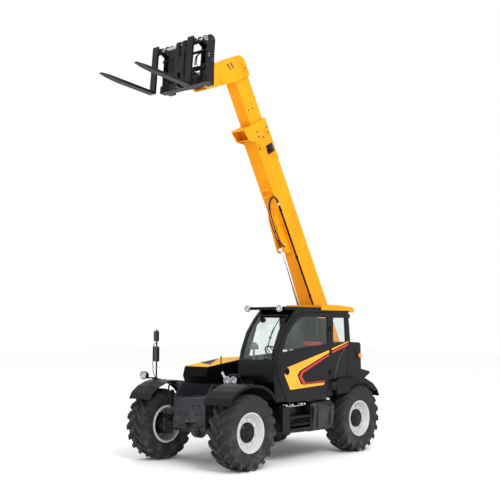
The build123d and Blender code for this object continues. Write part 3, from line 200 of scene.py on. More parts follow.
# %% Paint
BARE = (0.42, 0.41, 0.40, 1)           # steel where the paint is worn off
PEEL = 0.00012                         # height of the orange peel


def painted(name, colour, rough=0.3, coat=0.1, dust=0.3, dust_top=1.6, worn=0.0, gloss=0.3, zones=()):
    """Painted plate: colour drift, orange peel, dust from the ground up and optional bare edges.

    Each zone is (its mask from the coordinates, its colour): a second colour on the same plate.
    """
    material, place, shader = start(name)
    drift = place.noise(0.9, 4)
    film = place.noise(7, 6, 0.65)
    base = colour
    for mask, second in zones:
        base = mask(place).mix(base, second)
    base = (drift.between(0.65, 0.35) * 0.14).mix(base, (0, 0, 0, 1))
    low = place.axis("Z").between(dust_top, 0.1)
    dusty = (low * 0.8 + 0.12) * film.between(0.42, 0.75) * dust
    base = dusty.mix(base, DUST)
    roughness = film * 0.12 + dusty * 0.5 + (rough - 0.06)
    if worn:
        chip = place.noise(38, 5, 0.7)
        rim = edges(place) * chip.between(0.5, 0.62) * worn
        base = rim.mix(base, BARE)
    ripple = place.noise(210, 2)
    wire(place, shader, Base_Color=base, Roughness=roughness, Coat_Weight=coat, Coat_Roughness=0.12,
         Specular_IOR_Level=gloss, Normal=bump(place, ripple, PEEL, normal=rounded(place)))
    return material


def linear(red, green, blue):
    """A screen colour, 0 to 255, as the shader's linear values."""
    return tuple((v / 255) ** 2.2 for v in (red, green, blue)) + (1,)


def hood_top(place):
    """The hood's upper faces, in to its edges."""
    return (place.axis("Z") > 1.592) * (upward(place) > 0.8)


def hood_wedge(place):
    """A dark wedge across the front of the hood's top."""
    x, y = place.axis("X"), place.axis("Y")
    return hood_top(place) * (y < 0.5 - 1.6 * (x + 1.09)) * (y > -0.02 - 0.37 * (x + 1.09)) * (x > -1.1)


def cab_nose(place):
    """The panels under the windscreen, in front of the door."""
    y, z = place.axis("Y"), place.axis("Z")
    return (z < 1.725) * (y < 0.1) * (y + z * 0.05 < -0.2)


def upward(place):
    return place.new("NewGeometry", out=3).axis("Z")


YELLOW = (0.91, 0.335, 0.0, 1)
boom_paint = painted("boom_yellow", YELLOW, rough=0.42, coat=0.02, dust=0.04, gloss=0.12)
frame_paint = painted("frame_charcoal", linear(36, 36, 43), rough=0.46, dust=0.16)
cab_paint = painted("cab_charcoal", linear(22, 22, 25), rough=0.34, dust=0.02, gloss=0.13,
                    zones=[(cab_nose, linear(6, 6, 8))])
black_paint = painted("satin_black", linear(12, 12, 14), rough=0.4, dust=0.05, gloss=0.16)
fork_paint = painted("fork_black", linear(20, 20, 21), rough=0.42, dust=0.05, worn=0.4, gloss=0.18)
rim_paint = painted("rim_silver", linear(190, 191, 193), rough=0.34, coat=0.3, dust=0.2, dust_top=1.1,
                    gloss=0.5)
hood_paint = painted("hood_black", linear(14, 14, 16), rough=0.42, coat=0.0, dust=0.03, gloss=0.06,
                     zones=[(hood_top, (0.84, 0.42, 0.0, 1)), (hood_wedge, linear(12, 12, 13))])
panel_paint = painted("panel_black", linear(18, 18, 21), rough=0.4, dust=0.06, gloss=0.2)
decal_yellow = painted("decal_yellow", (0.90, 0.42, 0.02, 1), rough=0.35, dust=0.04, gloss=0.3)
decal_red = painted("decal_red", linear(214, 44, 30), rough=0.35, dust=0.04, gloss=0.3)
# Dark print for the stripe's edge, and painted shade inside the head's slots.
dark_print_and_slot_shade = painted("dark_print_and_slot_shade", linear(16, 16, 18), rough=0.35, dust=0.04, gloss=0.3)
# A light grey satin for the rear quarter's pressed line: a painted highlight where the panel's edge catches
# the light.
painted_highlight_paint = painted("painted_highlight_satin", linear(84, 84, 90), rough=0.3, dust=0.02, gloss=0.4)
print("paints made:", len(bpy.data.materials))

# %% [markdown]
# ## Metal, rubber, plastic and glass
# Bare metal shows how it was worked: a drawn bar has lines along it, a chromed rod only the
# faintest rings. Rubber and moulded plastic are matt with a grain that breaks up the light.
# Window glass is a thin tinted sheet: a mix of clear and gloss, with more gloss the more slanted
# the view, so it mirrors the studio at its edges and lets the seat be seen head-on. A panel's two
# faces are treated alike, because a true Fresnel share would shut the light in behind the second
# one. Seat cloth is two crossed sets of threads.


# %% Metals
def metal(name, colour, rough, lines=0.0, stretch=(1, 1, 1), dust=0.0):
    """Bare metal with drawn lines across the stretched-out axis of its noise."""
    material, place, shader = start(name)
    drawn = place.noise(160, 3, stretch=stretch)
    stain = place.noise(11, 5)
    base = (stain.between(0.45, 0.8) * 0.5).mix(colour, tuple(0.72 * v for v in colour[:3]) + (1,))
    base = (stain.between(0.5, 0.7) * dust).mix(base, DUST)
    roughness = drawn * 0.14 + stain * 0.1 + (rough - 0.1)
    wire(place, shader, Base_Color=base, Metallic=1.0, Roughness=roughness,
         Normal=bump(place, drawn, lines, normal=rounded(place, 0.002)))
    return material


chrome = metal("rod_chrome", (0.80, 0.81, 0.83, 1), 0.13, 0.00004, (4, 0.2, 0.2))
steel = metal("bare_steel", (0.50, 0.49, 0.47, 1), 0.34, 0.00015)
zinc = metal("zinc_fitting", (0.66, 0.66, 0.68, 1), 0.30, 0.00008)
iron = metal("cast_iron", (0.17, 0.17, 0.17, 1), 0.55, 0.0006, dust=0.5)
exhaust_steel = metal("exhaust_steel", (0.24, 0.20, 0.17, 1), 0.46, 0.0002)
mirror_glass = metal("mirror_glass", (0.80, 0.82, 0.84, 1), 0.11, 0.0)
bowl_mirror = metal("lamp_mirror", (0.60, 0.61, 0.63, 1), 0.2, 0.0)
print("metals made:", len(bpy.data.materials))


# %% Rubber and plastic
def rubber(name, colour, rough=0.8, grain=0.0005, scale=240, dust=0.5, dust_top=1.3):
    """Matt rubber: fine grain, scuffs, and dust in its low places."""
    material, place, shader = start(name)
    fine = place.noise(scale, 3, 0.6)
    patch = place.noise(6, 6, 0.7)
    scuff = place.noise(22, 4, 0.6, (1, 1, 3))
    lighter = tuple(min(1, 1.9 * v + 0.01) for v in colour[:3]) + (1,)
    base = (scuff.between(0.52, 0.74) * 0.6).mix(colour, lighter)
    dusty = patch.between(0.46, 0.76) * place.axis("Z").between(dust_top, 0.0) * dust
    base = dusty.mix(base, DUST)
    wire(place, shader, Base_Color=base, Roughness=fine * 0.2 + (rough - 0.1), Specular_IOR_Level=0.35,
         Normal=bump(place, fine + scuff * 0.5, grain, normal=rounded(place, 0.003)))
    return material


def moulded(name, colour, rough=0.5, pebble=260, depth=0.00035, dust=0.25, gloss=0.2):
    """Moulded plastic with a pebble grain."""
    material, place, shader = start(name)
    cell = place.new("TexVoronoi", {"feature": "SMOOTH_F1"}, {"Vector": place, "Scale": pebble})
    cloud = place.noise(3, 5)
    base = (cloud.between(0.4, 0.7) * 0.5).mix(colour, tuple(0.7 * v for v in colour[:3]) + (1,))
    base = (cloud.between(0.55, 0.8) * dust * place.axis("Z").between(1.8, 0.3)).mix(base, DUST)
    wire(place, shader, Base_Color=base, Roughness=cloud * 0.16 + cell * 0.1 + (rough - 0.1),
         Specular_IOR_Level=gloss,
         Normal=bump(place, cell, depth, normal=rounded(place)))
    return material


tyre_rubber = rubber("tyre_rubber", linear(38, 38, 40), rough=0.78, dust=0.25)
hose_rubber = rubber("hose_rubber", linear(26, 26, 27), rough=0.55, grain=0.0002, scale=500, dust=0.1)
seal_rubber = rubber("seal_rubber", linear(20, 20, 20), rough=0.6, grain=0.0002, dust=0.1)
fender_plastic = moulded("fender_plastic", linear(14, 14, 18), rough=0.42, dust=0.06, gloss=0.16)
cabin_plastic = moulded("cabin_plastic", linear(52, 52, 55), rough=0.55, dust=0.0)
grey_plastic = moulded("grey_plastic", linear(112, 112, 116), rough=0.5, dust=0.0)
pad_plastic = moulded("pad_plastic", linear(70, 70, 66), rough=0.4, pebble=90)
print("rubber and plastic made:", len(bpy.data.materials))


# %% Seat fabric
def fabric(name, colour, thread=0.0016):
    """Woven cloth: two crossed sets of threads, a soft cloud of wear and a fuzzy edge."""
    material, place, shader = start(name)
    threads = {"Vector": place, "Scale": 0.31 / thread, "Distortion": 0.6, "Detail": 1.0}
    across = place.new("TexWave", {"wave_type": "BANDS", "bands_direction": "X"}, threads, out=1)
    along = place.new("TexWave", {"wave_type": "BANDS", "bands_direction": "DIAGONAL"}, threads, out=1)
    cloud = place.noise(9, 5)
    weave = across * along
    base = (cloud.between(0.4, 0.7) * 0.4).mix(colour, tuple(0.7 * v for v in colour[:3]) + (1,))
    base = (weave * 0.5).mix(base, tuple(min(1, 1.5 * v + 0.01) for v in colour[:3]) + (1,))
    wire(place, shader, Base_Color=base, Roughness=cloud * 0.1 + 0.82, Sheen_Weight=0.25,
         Normal=bump(place, weave + cloud, 0.0004))
    return material


seat_cloth = fabric("seat_cloth", linear(44, 44, 48))
seat_red = fabric("seat_red", linear(205, 34, 28))
print("cloths made:", len(bpy.data.materials))


# %% Glass and lamp lenses
def window_glass(name, tint, body=0.10):
    """Thin tinted glass: clear at head-on, mirror at a slant, with a trace of wiped dust."""
    material, place, shader = start(name)
    tree = place.tree
    film = place.noise(2.2, 5, 0.6).between(0.5, 0.85)
    wire(place, shader, Base_Color=(0.03, 0.035, 0.03, 1), Roughness=0.03, Alpha=film * 0.06 + body,
         Specular_IOR_Level=0.3)
    clear = place.new("BsdfTransparent", inputs={"Color": tint})
    gloss = place.new("BsdfGlossy", inputs={"Color": (0.9, 0.95, 0.97, 1), "Roughness": 0.02})
    slant = place.new("LayerWeight", inputs={"Blend": 0.5}, out=1)
    share = slant * slant * slant * slant * 0.55 + 0.035
    sheet = place.new("MixShader", inputs={0: share, 1: clear, 2: gloss})
    dusted = Field(tree, shader.outputs[0])
    both = place.new("MixShader", inputs={0: film * 0.08 + body, 1: sheet, 2: dusted})
    tree.links.new(both.socket, tree.nodes["Material Output"].inputs["Surface"])
    return material


def lens(name, colour, ribs=300.0, rough=0.08):
    """A clear or coloured lamp lens: moulded ribs over a bright bowl."""
    material, place, shader = start(name)
    wave = place.new("TexWave", {"wave_type": "BANDS", "bands_direction": "X"},
                     {"Vector": place, "Scale": ribs / 20, "Distortion": 0.4}, out=1)
    drift = place.noise(30, 3)
    base = (drift.between(0.4, 0.6) * 0.5).mix(colour, tuple(0.7 * v for v in colour[:3]) + (1,))
    wire(place, shader, Base_Color=base, Roughness=wave * 0.06 + rough, Coat_Weight=1.0,
         Coat_Roughness=0.04, Normal=bump(place, wave, 0.0012))
    return material


cab_window = window_glass("cab_glass", (0.95, 0.97, 0.96, 1), 0.025)
# A dark tinted sheet for the inner and rear windows that darkens what is seen through the cab: painted shade.
painted_shade_glass = window_glass("painted_shade_glass", (0.16, 0.17, 0.14, 1), 0.03)
lamp_cover = window_glass("lamp_cover", (0.95, 0.96, 0.97, 1), 0.02)
clear_lens = lens("clear_lens", (0.72, 0.74, 0.76, 1))
red_lens = lens("red_lens", (0.50, 0.012, 0.01, 1))
amber_lens = lens("amber_lens", (0.95, 0.27, 0.02, 1))
print("glass and lenses made:", len(bpy.data.materials))

# %% [markdown]
# ## Give each CAD node its finish
# A CAD node keeps its shape and takes a better material. One table says which finish each
# group of nodes gets; the few nodes that are replaced by finer pieces are dressed further on.

# %% Finish the CAD nodes
FINISHES = {  # material: the starts of the names of the nodes that wear it
    boom_paint: ("boom_outer", "boom_inner", "boom_head", "roof"),
    frame_paint: ("chassis_frame", "axle", "knuckle", "cab_mounts", "engine_pod", "tow_hitch",
                  "side_tank"),
    cab_paint: ("cab_shell", "door"),
    black_paint: ("lift_barrel", "lamps", "hub", "roof_guard", "hood_grille", "mirror_pole", "rear_box",
                  "step_box", "boom_pipes"),
    fork_paint: ("carriage", "fork_left", "fork_right"),
    rim_paint: ("rim",),
    hood_paint: ("hood",),
    panel_paint: ("lamp_panel",),
    steel: ("chassis_pins", "tilt_pin", "fork_shaft"),
    exhaust_steel: ("exhaust",),
    chrome: ("lift_rod",),
    tyre_rubber: ("tyre",),
    fender_plastic: ("fenders",),
    cabin_plastic: ("dash", "steering_wheel", "seat_base", "seat"),
    pad_plastic: ("boom_pads",),
    iron: ("engine_block",),
    cab_window: ("windscreen", "cab_glass", "door_glass"),
    red_lens: ("tail_lamps",),
    amber_lens: ("beacon",),
}
starts = {start_of: material for material, names in FINISHES.items() for start_of in names}
for name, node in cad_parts.items():
    longest = max((s for s in starts if name.startswith(s)), key=len)
    node.data.materials.clear()
    node.data.materials.append(starts[longest])
print("CAD nodes finished:", len(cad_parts))

# %% [markdown]
# ## The studio
# The floor is one flat sheet and the sky is plain white. The floor is stage, not part of the object, so it
# rides on no body.

# %% Studio floor and lamps
FLOOR_WHITE = (0.975, 0.975, 0.975, 1)


def shown(bm, name, material, body=None):
    """Turns a bmesh into an object that rides on a body, or on nothing for the stage."""
    mesh = bpy.data.meshes.new(name)
    bm.to_mesh(mesh)
    bm.free()
    mesh.materials.append(material)
    piece = bpy.data.objects.new(name, mesh)
    bpy.context.scene.collection.objects.link(piece)
    if body:
        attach(piece, body)
    return piece


floor_paint, place, shader = start("studio_white")
wire(place, shader, Base_Color=FLOOR_WHITE, Roughness=0.9)
bm = bmesh.new()
bmesh.ops.create_grid(bm, x_segments=1, y_segments=1, size=60)
shown(bm, "studio_floor", floor_paint)

world = bpy.data.worlds.new("studio_air")
world.use_nodes = True
sky = world.node_tree.nodes["Background"].inputs
sky["Color"].default_value = (1, 1, 1, 1)
sky["Strength"].default_value = 1.0
bpy.context.scene.world = world
bpy.context.scene.view_settings.view_transform = "Standard"

LAMPS = [  # (name, place, size, watts)
    ("key", (12, -6, 12), 6, 1500), ("fill", (-11, -8, 8), 9, 100), ("back", (2, 12, 12), 8, 300)]
for name, place, size, watts in LAMPS:
    data = bpy.data.lights.new(name, "AREA")
    data.size, data.energy = size, watts
    lamp = bpy.data.objects.new(name, data)
    lamp.location = place
    lamp.rotation_euler = (Vector((0, 0, 2.5)) - Vector(place)).to_track_quat("-Z", "Y").to_euler()
    bpy.context.scene.collection.objects.link(lamp)
print("lamps:", [name for name, *_ in LAMPS])

# %% [markdown]
# ## Small shapes, made once
# Most of the fittings are a few plain operations: a section spun round a line, a plate cut from
# an outline, a bar with its edges bevelled, a tube swept along a route. Each is one short
# function here, so that a fitting's own cell says only where it is and how large.


# %% Making shapes
def tidy(bm, edge=0.0, segments=2, sharp=0.5):
    """Merges doubles, turns the faces outwards and bevels what is sharp."""
    bmesh.ops.remove_doubles(bm, verts=bm.verts, dist=1e-5)
    bmesh.ops.recalc_face_normals(bm, faces=bm.faces)
    if edge:
        corners = [e for e in bm.edges if len(e.link_faces) == 2 and e.calc_face_angle() > sharp]
        bmesh.ops.bevel(bm, geom=corners, offset=edge, segments=segments, profile=0.5, affect="EDGES",
                        material=-1, clamp_overlap=True)
    return bm


def joined(parts):
    """One bmesh out of several."""
    whole = bmesh.new()
    for part in parts:
        mesh = bpy.data.meshes.new("part")
        part.to_mesh(mesh)
        part.free()
        whole.from_mesh(mesh)
        bpy.data.meshes.remove(mesh)
    return whole


def placed(bm, move=(0, 0, 0), turn=Matrix.Identity(4), scale=(1, 1, 1)):
    """The same bmesh, scaled, turned and then moved."""
    matrix = Matrix.Translation(move) @ turn @ Matrix.Diagonal((*scale, 1))
    bmesh.ops.transform(bm, matrix=matrix, verts=bm.verts)
    return bm


def bar(size, at=(0, 0, 0), edge=0.003, turn=Matrix.Identity(4)):
    """A block with its edges rounded."""
    bm = bmesh.new()
    bmesh.ops.create_cube(bm, size=1)
    placed(bm, scale=size)
    tidy(bm, min(edge, 0.3 * min(size)))
    return placed(bm, at, turn)


def spun(section, steps=32):
    """A section of (radius, along) points spun round Z; ends that lie on the axis close there."""
    bm = bmesh.new()
    verts = [bm.verts.new((radius, 0, along)) for radius, along in section]
    lines = [bm.edges.new(pair) for pair in zip(verts, verts[1:])]
    bmesh.ops.spin(bm, geom=verts + lines, axis=(0, 0, 1), cent=(0, 0, 0), angle=2 * pi, steps=steps,
                   use_merge=True)
    return tidy(bm)


def turned(axis, degrees):
    return Matrix.Rotation(radians(degrees), 4, axis)


def rod(radius, start_at, end_at, edge=0.0015, steps=20):
    """A round bar between two points, its ends slightly bevelled."""
    first, last = Vector(start_at), Vector(end_at)
    length = (last - first).length
    lip = min(edge, 0.4 * radius, 0.4 * length)
    section = [(0, 0), (radius - lip, 0), (radius, lip), (radius, length - lip), (radius - lip, length),
               (0, length)]
    turn = (last - first).to_track_quat("Z", "Y").to_matrix().to_4x4()
    return placed(spun(section, steps), first, turn)


def hexagon(width, height, at=(0, 0, 0), turn=Matrix.Identity(4)):
    """A bolt's head on its washer, standing along Z."""
    head = bmesh.new()
    bmesh.ops.create_cone(head, cap_ends=True, segments=6, radius1=width / 2, radius2=width / 2,
                          depth=height)
    placed(head, (0, 0, height / 2 + 0.002))
    tidy(head, 0.12 * height, 1)
    washer = placed(spun([(0, 0), (0.62 * width, 0), (0.62 * width, 0.003), (0, 0.003)], 16))
    return placed(joined([head, washer]), at, turn)


def raised(bm, height):
    """All faces extruded upwards."""
    grown = bmesh.ops.extrude_face_region(bm, geom=bm.faces[:])["geom"]
    tops = [part for part in grown if isinstance(part, bmesh.types.BMVert)]
    bmesh.ops.translate(bm, vec=(0, 0, height), verts=tops)


def plate(outline, thick, edge=0.002):
    """A plate of this thickness from (x, y) corners, its lower face on Z = 0."""
    bm = bmesh.new()
    bm.faces.new([bm.verts.new((x, y, 0)) for x, y in outline])
    raised(bm, thick)
    return tidy(bm, edge)


def smooth(piece, angle):
    """Shades smooth across bends under the angle, and sharp across the rest."""
    piece.data.shade_smooth()
    piece.data.set_sharp_from_angle(angle=radians(angle))
    return piece


def fitted(name, shape, material, body="chassis", angle=35):
    """One finished piece, from a shape or a list of shapes."""
    if isinstance(shape, list):
        shape = joined(shape)
    return smooth(shown(shape, name, material, body), angle)


def tube(name, route, radius, material, body, sides=10):
    """A hose or wire along a few points, on one smooth curve, made a mesh."""
    curve = bpy.data.curves.new(name, "CURVE")
    curve.dimensions = "3D"
    curve.bevel_depth = radius
    curve.bevel_resolution = sides // 4
    curve.use_fill_caps = True
    line = curve.splines.new("NURBS")
    line.points.add(len(route) - 1)
    for point, place in zip(line.points, route):
        point.co = (*place, 1)
    line.order_u = 3
    line.use_endpoint_u = True
    line.resolution_u = 8
    holder = bpy.data.objects.new(name, curve)
    bpy.context.scene.collection.objects.link(holder)
    bpy.context.view_layer.update()
    mesh = bpy.data.meshes.new_from_object(holder.evaluated_get(bpy.context.evaluated_depsgraph_get()))
    bpy.data.objects.remove(holder)
    mesh.materials.clear()
    mesh.materials.append(material)
    piece = bpy.data.objects.new(name, mesh)
    bpy.context.scene.collection.objects.link(piece)
    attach(piece, body)
    return smooth(piece, 60)


def along_x(side=1):
    """Turns a shape that stands along Z so that it points out of the machine's side."""
    return turned("Y", 90 * side)


FORWARDS = turned("X", 90)          # a shape that stands along Z looks forwards
BACKWARDS = turned("X", -90)
SIDEWAYS = Matrix(((0, 0, 1, 0), (1, 0, 0, 0), (0, 1, 0, 0), (0, 0, 0, 1)))     # (x, y) becomes (y, z)


print("shape helpers ready")

# %% [markdown]
# ## Tyres
# A traction tyre is a round carcass with bars across it: each bar starts at the middle of the
# tread, leans about forty degrees and runs over the shoulder, and the two rows are half a pitch
# apart. The carcass is a section spun round the axle. A bar starts as a straight block and is
# then wrapped: how far it lies along the tread becomes an angle round the axle, so it follows the
# curve exactly and its top stays level.

# %% Tyre
CORNERS = ("front_left", "front_right", "rear_left", "rear_right")
LUG_PAIRS = 19
LEAN = 0.86                # round the tread for each metre out
tyre_low, tyre_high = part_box("tyre_front_left")
tyre_middle = (tyre_low + tyre_high) / 2
rim_low, rim_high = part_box("rim_front_left")
OUTER = 0.6185             # over the bars
HALF = (tyre_high.x - tyre_low.x) / 2
CROWN = OUTER - 0.034
SEAT = (rim_high.z - rim_low.z) / 2
print("tyre", round(2 * OUTER, 3), "across,", round(2 * HALF, 3), "wide")


def carcass_radius(out):
    """The tread's radius at a distance from the middle: nearly flat, then round the shoulder."""
    over = max(0.0, abs(out) - 0.55 * HALF) / (0.45 * HALF)
    return CROWN - 0.004 * (out / HALF) ** 2 - 0.058 * over ** 2.6


def lug(side):
    """One tread bar, wrapped round the carcass from the middle line over the shoulder."""
    bm = bmesh.new()
    bmesh.ops.create_grid(bm, x_segments=9, y_segments=2, size=0.5)
    raised(bm, 1)
    for vert in bm.verts:
        out = (vert.co.x + 0.5) * (HALF + 0.012) - 0.012
        up = vert.co.z
        width = (0.092 if up < 0.5 else 0.064) * (1 + 0.22 * out / HALF)
        round_by = (vert.co.y * width + LEAN * out) / CROWN
        base = carcass_radius(out) - 0.012
        top = min(OUTER - 0.055 * max(0.0, out / HALF - 0.62), OUTER)
        radius = base + (top - base) * up
        x = side * min(out, HALF - 0.004)
        vert.co = (x, radius * sin(round_by), radius * cos(round_by))
    return tidy(bm, 0.006, 2, 0.7)


def tyre_mesh():
    """The whole tyre round X, its middle at the origin."""
    bead = rim_high.x - rim_low.x
    lip = bead / 2 - 0.0145
    wall = [(lip, SEAT - 0.024), (lip, SEAT + 0.004), (lip + 0.012, SEAT + 0.020), (lip + 0.016, SEAT + 0.034),
            (HALF - 0.028, SEAT + 0.062), (HALF - 0.010, SEAT + 0.098), (HALF - 0.007, SEAT + 0.104),
            (HALF - 0.004, SEAT + 0.132), (HALF - 0.009, SEAT + 0.168), (HALF - 0.006, SEAT + 0.172)]
    tread = [(t * HALF, carcass_radius(t * HALF)) for t in (0.95, 0.86, 0.75, 0.6, 0.4, 0.2, 0.0)]
    half = wall + tread
    section = [(radius, x) for x, radius in half] + [(radius, -x) for x, radius in reversed(half[:-1])]
    body = placed(spun(section + [section[0]], 96), turn=along_x())
    bars = []
    for i in range(LUG_PAIRS):
        for side in (1, -1):
            step = 2 * pi * (i + (0.5 if side < 0 else 0)) / LUG_PAIRS
            bars.append(placed(lug(side), turn=Matrix.Rotation(step, 4, "X")))
    return joined([body, *bars])


def kept(shape):
    """A shape kept as a mesh, so that it can be used more than once."""
    mesh = bpy.data.meshes.new("kept")
    shape.to_mesh(mesh)
    shape.free()
    return mesh


def at_wheel(mesh, corner):
    """A copy of a shape made about the X axis, moved to a wheel; on the right turned half round."""
    low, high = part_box("tyre_" + corner)
    middle = (low + high) / 2
    bm = bmesh.new()
    bm.from_mesh(mesh)
    if middle.x < 0:
        placed(bm, turn=turned("Z", 180))
    return placed(bm, (middle.x, middle.y, (rim_low.z + rim_high.z) / 2))


tyre_shape = kept(tyre_mesh())
for corner in CORNERS:
    shape = at_wheel(tyre_shape, corner)
    piece = fitted("tyre_dressed_" + corner, shape, tyre_rubber, "wheel_" + corner, angle=40)
    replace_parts(piece, "tyre_" + corner)
print("tyre faces:", len(tyre_shape.polygons))

# %% [markdown]
# ## Wheel nuts and hub ends
# The rim is held by a ring of nuts on studs, and the hub's cover by a ring of smaller bolts with
# an oil plug between them. They are what the eye reads as "a real wheel". One set is built about
# the X axis and copied to the four corners; on the right it is turned half round, never mirrored,
# so that every shape stays a true one.

# %% Wheel nuts
HUB_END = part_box("hub_front_left")[1].x - tyre_middle.x
COVER_FACE = HUB_END - 0.0145
RIM_FACE = (rim_high.x - rim_low.x) / 2 - 0.095


def ring_of(count, radius, out, piece_of, first=0.0):
    """Copies of a piece that points along Z, round the axle, pointing outwards."""
    parts = []
    for i in range(count):
        angle = first + 2 * pi * i / count
        at = (out, radius * sin(angle), radius * cos(angle))
        parts.append(placed(piece_of(), at, along_x()))
    return parts


def wheel_nut():
    stud = rod(0.008, (0, 0, 0), (0, 0, 0.034), 0.001, 12)
    return joined([hexagon(0.030, 0.020), stud])


def cover_bolt():
    return hexagon(0.018, 0.009)


def plug():
    return hexagon(0.028, 0.012)


def on_wheels(name, parts, material):
    """The same shapes, given about the axle at the wheel's middle, on the four wheels."""
    mesh = kept(joined(parts))
    for corner in CORNERS:
        fitted(name + "_" + corner, at_wheel(mesh, corner), material, "wheel_" + corner)


on_wheels("wheel_nuts", ring_of(10, 0.212, RIM_FACE, wheel_nut), zinc)
on_wheels("hub_bolts", ring_of(12, 0.118, COVER_FACE, cover_bolt) + ring_of(2, 0.088, COVER_FACE, plug, 0.6),
          black_paint)
on_wheels("tyre_valve", [rod(0.004, (RIM_FACE, 0, 0.236), (RIM_FACE + 0.045, 0, 0.244), 0.001, 10),
                         rod(0.006, (RIM_FACE + 0.032, 0, 0.242), (RIM_FACE + 0.05, 0, 0.2455), 0.001, 10)],
          zinc)
print("hub end at", round(HUB_END, 3), "rim face at", round(RIM_FACE, 3))

# %% [markdown]
# ## Stripes on the door and the cab's rear corner
# The machine wears wide stripes cut from coloured film. Film lies on the paint and has no depth
# worth drawing, so each stripe is a plate six tenths of a millimetre thick with its true outline:
# a yellow band that opens forwards round the door's handle, and a red line inside it with a dark
# edge. What the film says in letters is left off; the shapes and colours stay.

# %% Stripes
SKIN = 1.126               # outer face of the door


def on_side(points, out, thick=0.0006):
    """A thin plate on the machine's left side, from (y, z) corners."""
    return placed(plate(points, thick, 0), (out, 0, 0), SIDEWAYS)


def grown(points, by):
    """The same outline, moved outwards by a distance."""
    moved = []
    for i, (y, z) in enumerate(points):
        before, after = Vector(points[i - 1]), Vector(points[(i + 1) % len(points)])
        here = Vector((y, z))
        first, second = (here - before).normalized(), (after - here).normalized()
        side = Vector((first.y + second.y, -first.x - second.x)).normalized()
        reach = by / max(0.35, side.dot(Vector((first.y, -first.x))))
        moved.append(tuple(here + side * reach))
    return moved


HANDLE = (-0.097, 1.569)
notch = [(HANDLE[0] + 0.064 * cos(radians(a)), HANDLE[1] + 0.064 * sin(radians(a)))
         for a in range(206, 460, 18)]
band = [(1.113, 1.912), (1.113, 1.866), (0.242, 1.565), (0.184, 1.488), (0.283, 1.332), (0.982, 1.344),
        (0.951, 1.29), (-0.015, 1.251), (-0.168, 1.51), *notch, (-0.098, 1.638)]
line = [(1.112, 1.841), (1.112, 1.815), (0.342, 1.526), (0.304, 1.465), (0.413, 1.349), (0.982, 1.362),
        (0.982, 1.344), (0.341, 1.333), (0.235, 1.468), (0.293, 1.551)]
rear_band = [(1.208, 1.938), (1.733, 2.068), (1.732, 2.047), (1.207, 1.908)]
rear_line = [(1.213, 1.886), (1.732, 2.024), (1.731, 1.991), (1.222, 1.854)]
STRIPES = [  # (name, outline, how far out, material, body)
    ("stripe_dark", grown(line, -0.012), SKIN, dark_print_and_slot_shade, "cab_door"),
    ("stripe_yellow", band, SKIN, decal_yellow, "cab_door"),
    ("stripe_red", line, SKIN + 0.0006, decal_red, "cab_door"),
    ("rear_stripe_yellow", rear_band, SKIN - 0.006, decal_yellow, "chassis"),
    ("rear_stripe_red", rear_line, SKIN - 0.006, decal_red, "chassis")]
for name, points, out, material, body in STRIPES:
    slot = "boom_yellow" if "yellow" in name else "cab_grey"
    shown(on_side(points, out), name, material, body)
print("stripes:", [name for name, *_ in STRIPES])

# %% [markdown]
# ## Lamps
# A work lamp is a bowl behind a lens. What the eye looks for is the order of its layers: a dark
# can, a bright ring round the rim, a mirror bowl that goes back behind it, a small cap over the
# bulb, and a domed cover over everything. The CAD lamps are solid, so the cans are made again,
# hollow: each layer is a section spun about the lamp's axis and then turned to look forwards.

# %% Lamps
HEADLAMP, FENDER_LAMP, ROOF_LAMP = (0.072, 0.110), (0.078, 0.120), (0.062, 0.080)      # radius, depth
SPOTS = [  # middle of the rim, and the kind
    ((0.570, -0.870, 1.423), HEADLAMP), ((0.415, -0.870, 1.423), HEADLAMP),
    ((-1.088, -1.455, 1.480), FENDER_LAMP),
    ((0.300, -0.225, 2.660), ROOF_LAMP), ((1.050, -0.225, 2.660), ROOF_LAMP)]
WALL = 0.003               # of a lamp's can


def lamp_layers(r, d):
    """The five layers' sections for a lamp's radius and depth, from the can to the cover."""
    inner = r - 0.011
    can = [(0, -d), (0.5 * r, -d), (0.62 * r, 0.010 - d), (0.92 * r, -0.45 * d), (r - WALL, -0.022),
           (r - WALL, -0.004), (r - 0.008, -0.004), (r - 0.010, -0.022), (0.86 * r, -0.45 * d),
           (0.5 * r, -0.80 * d), (0, -0.82 * d)]
    ring = [(r - WALL, -0.016), (r, -0.013), (r, -WALL), (r - WALL, 0), (r - 0.009, 0), (inner, -0.004),
            (inner, -0.016), (r - WALL, -0.016)]
    bowl = [(inner, -0.008), (0.80 * r, -0.28 * d), (0.60 * r, -0.46 * d), (0.34 * r, -0.60 * d),
            (0, -0.64 * d)]
    cap = [(0, -0.20 * d), (0.15 * r, -0.22 * d), (0.19 * r, -0.28 * d), (0.19 * r, -0.62 * d)]
    cover = [(inner - 0.0005, -0.006), (0.72 * r, -0.0035), (0.4 * r, -0.0015), (0, -0.001)]
    return can, ring, bowl, cap, cover


layers = [[] for _ in range(5)]
for at, (radius, depth) in SPOTS:
    for parts, section, steps in zip(layers, lamp_layers(radius, depth), (40, 40, 40, 16, 40)):
        parts.append(placed(spun(section, steps), at, FORWARDS))
cans, rings, bowls, caps, covers = layers
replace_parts(fitted("lamp_cans", cans, black_paint, angle=50), "lamps")
fitted("lamp_rings", rings, zinc)
fitted("lamp_bowls", bowls + caps, bowl_mirror, angle=60)
fitted("lamp_covers", covers, lamp_cover, angle=60)
print("lamps dressed:", len(SPOTS))

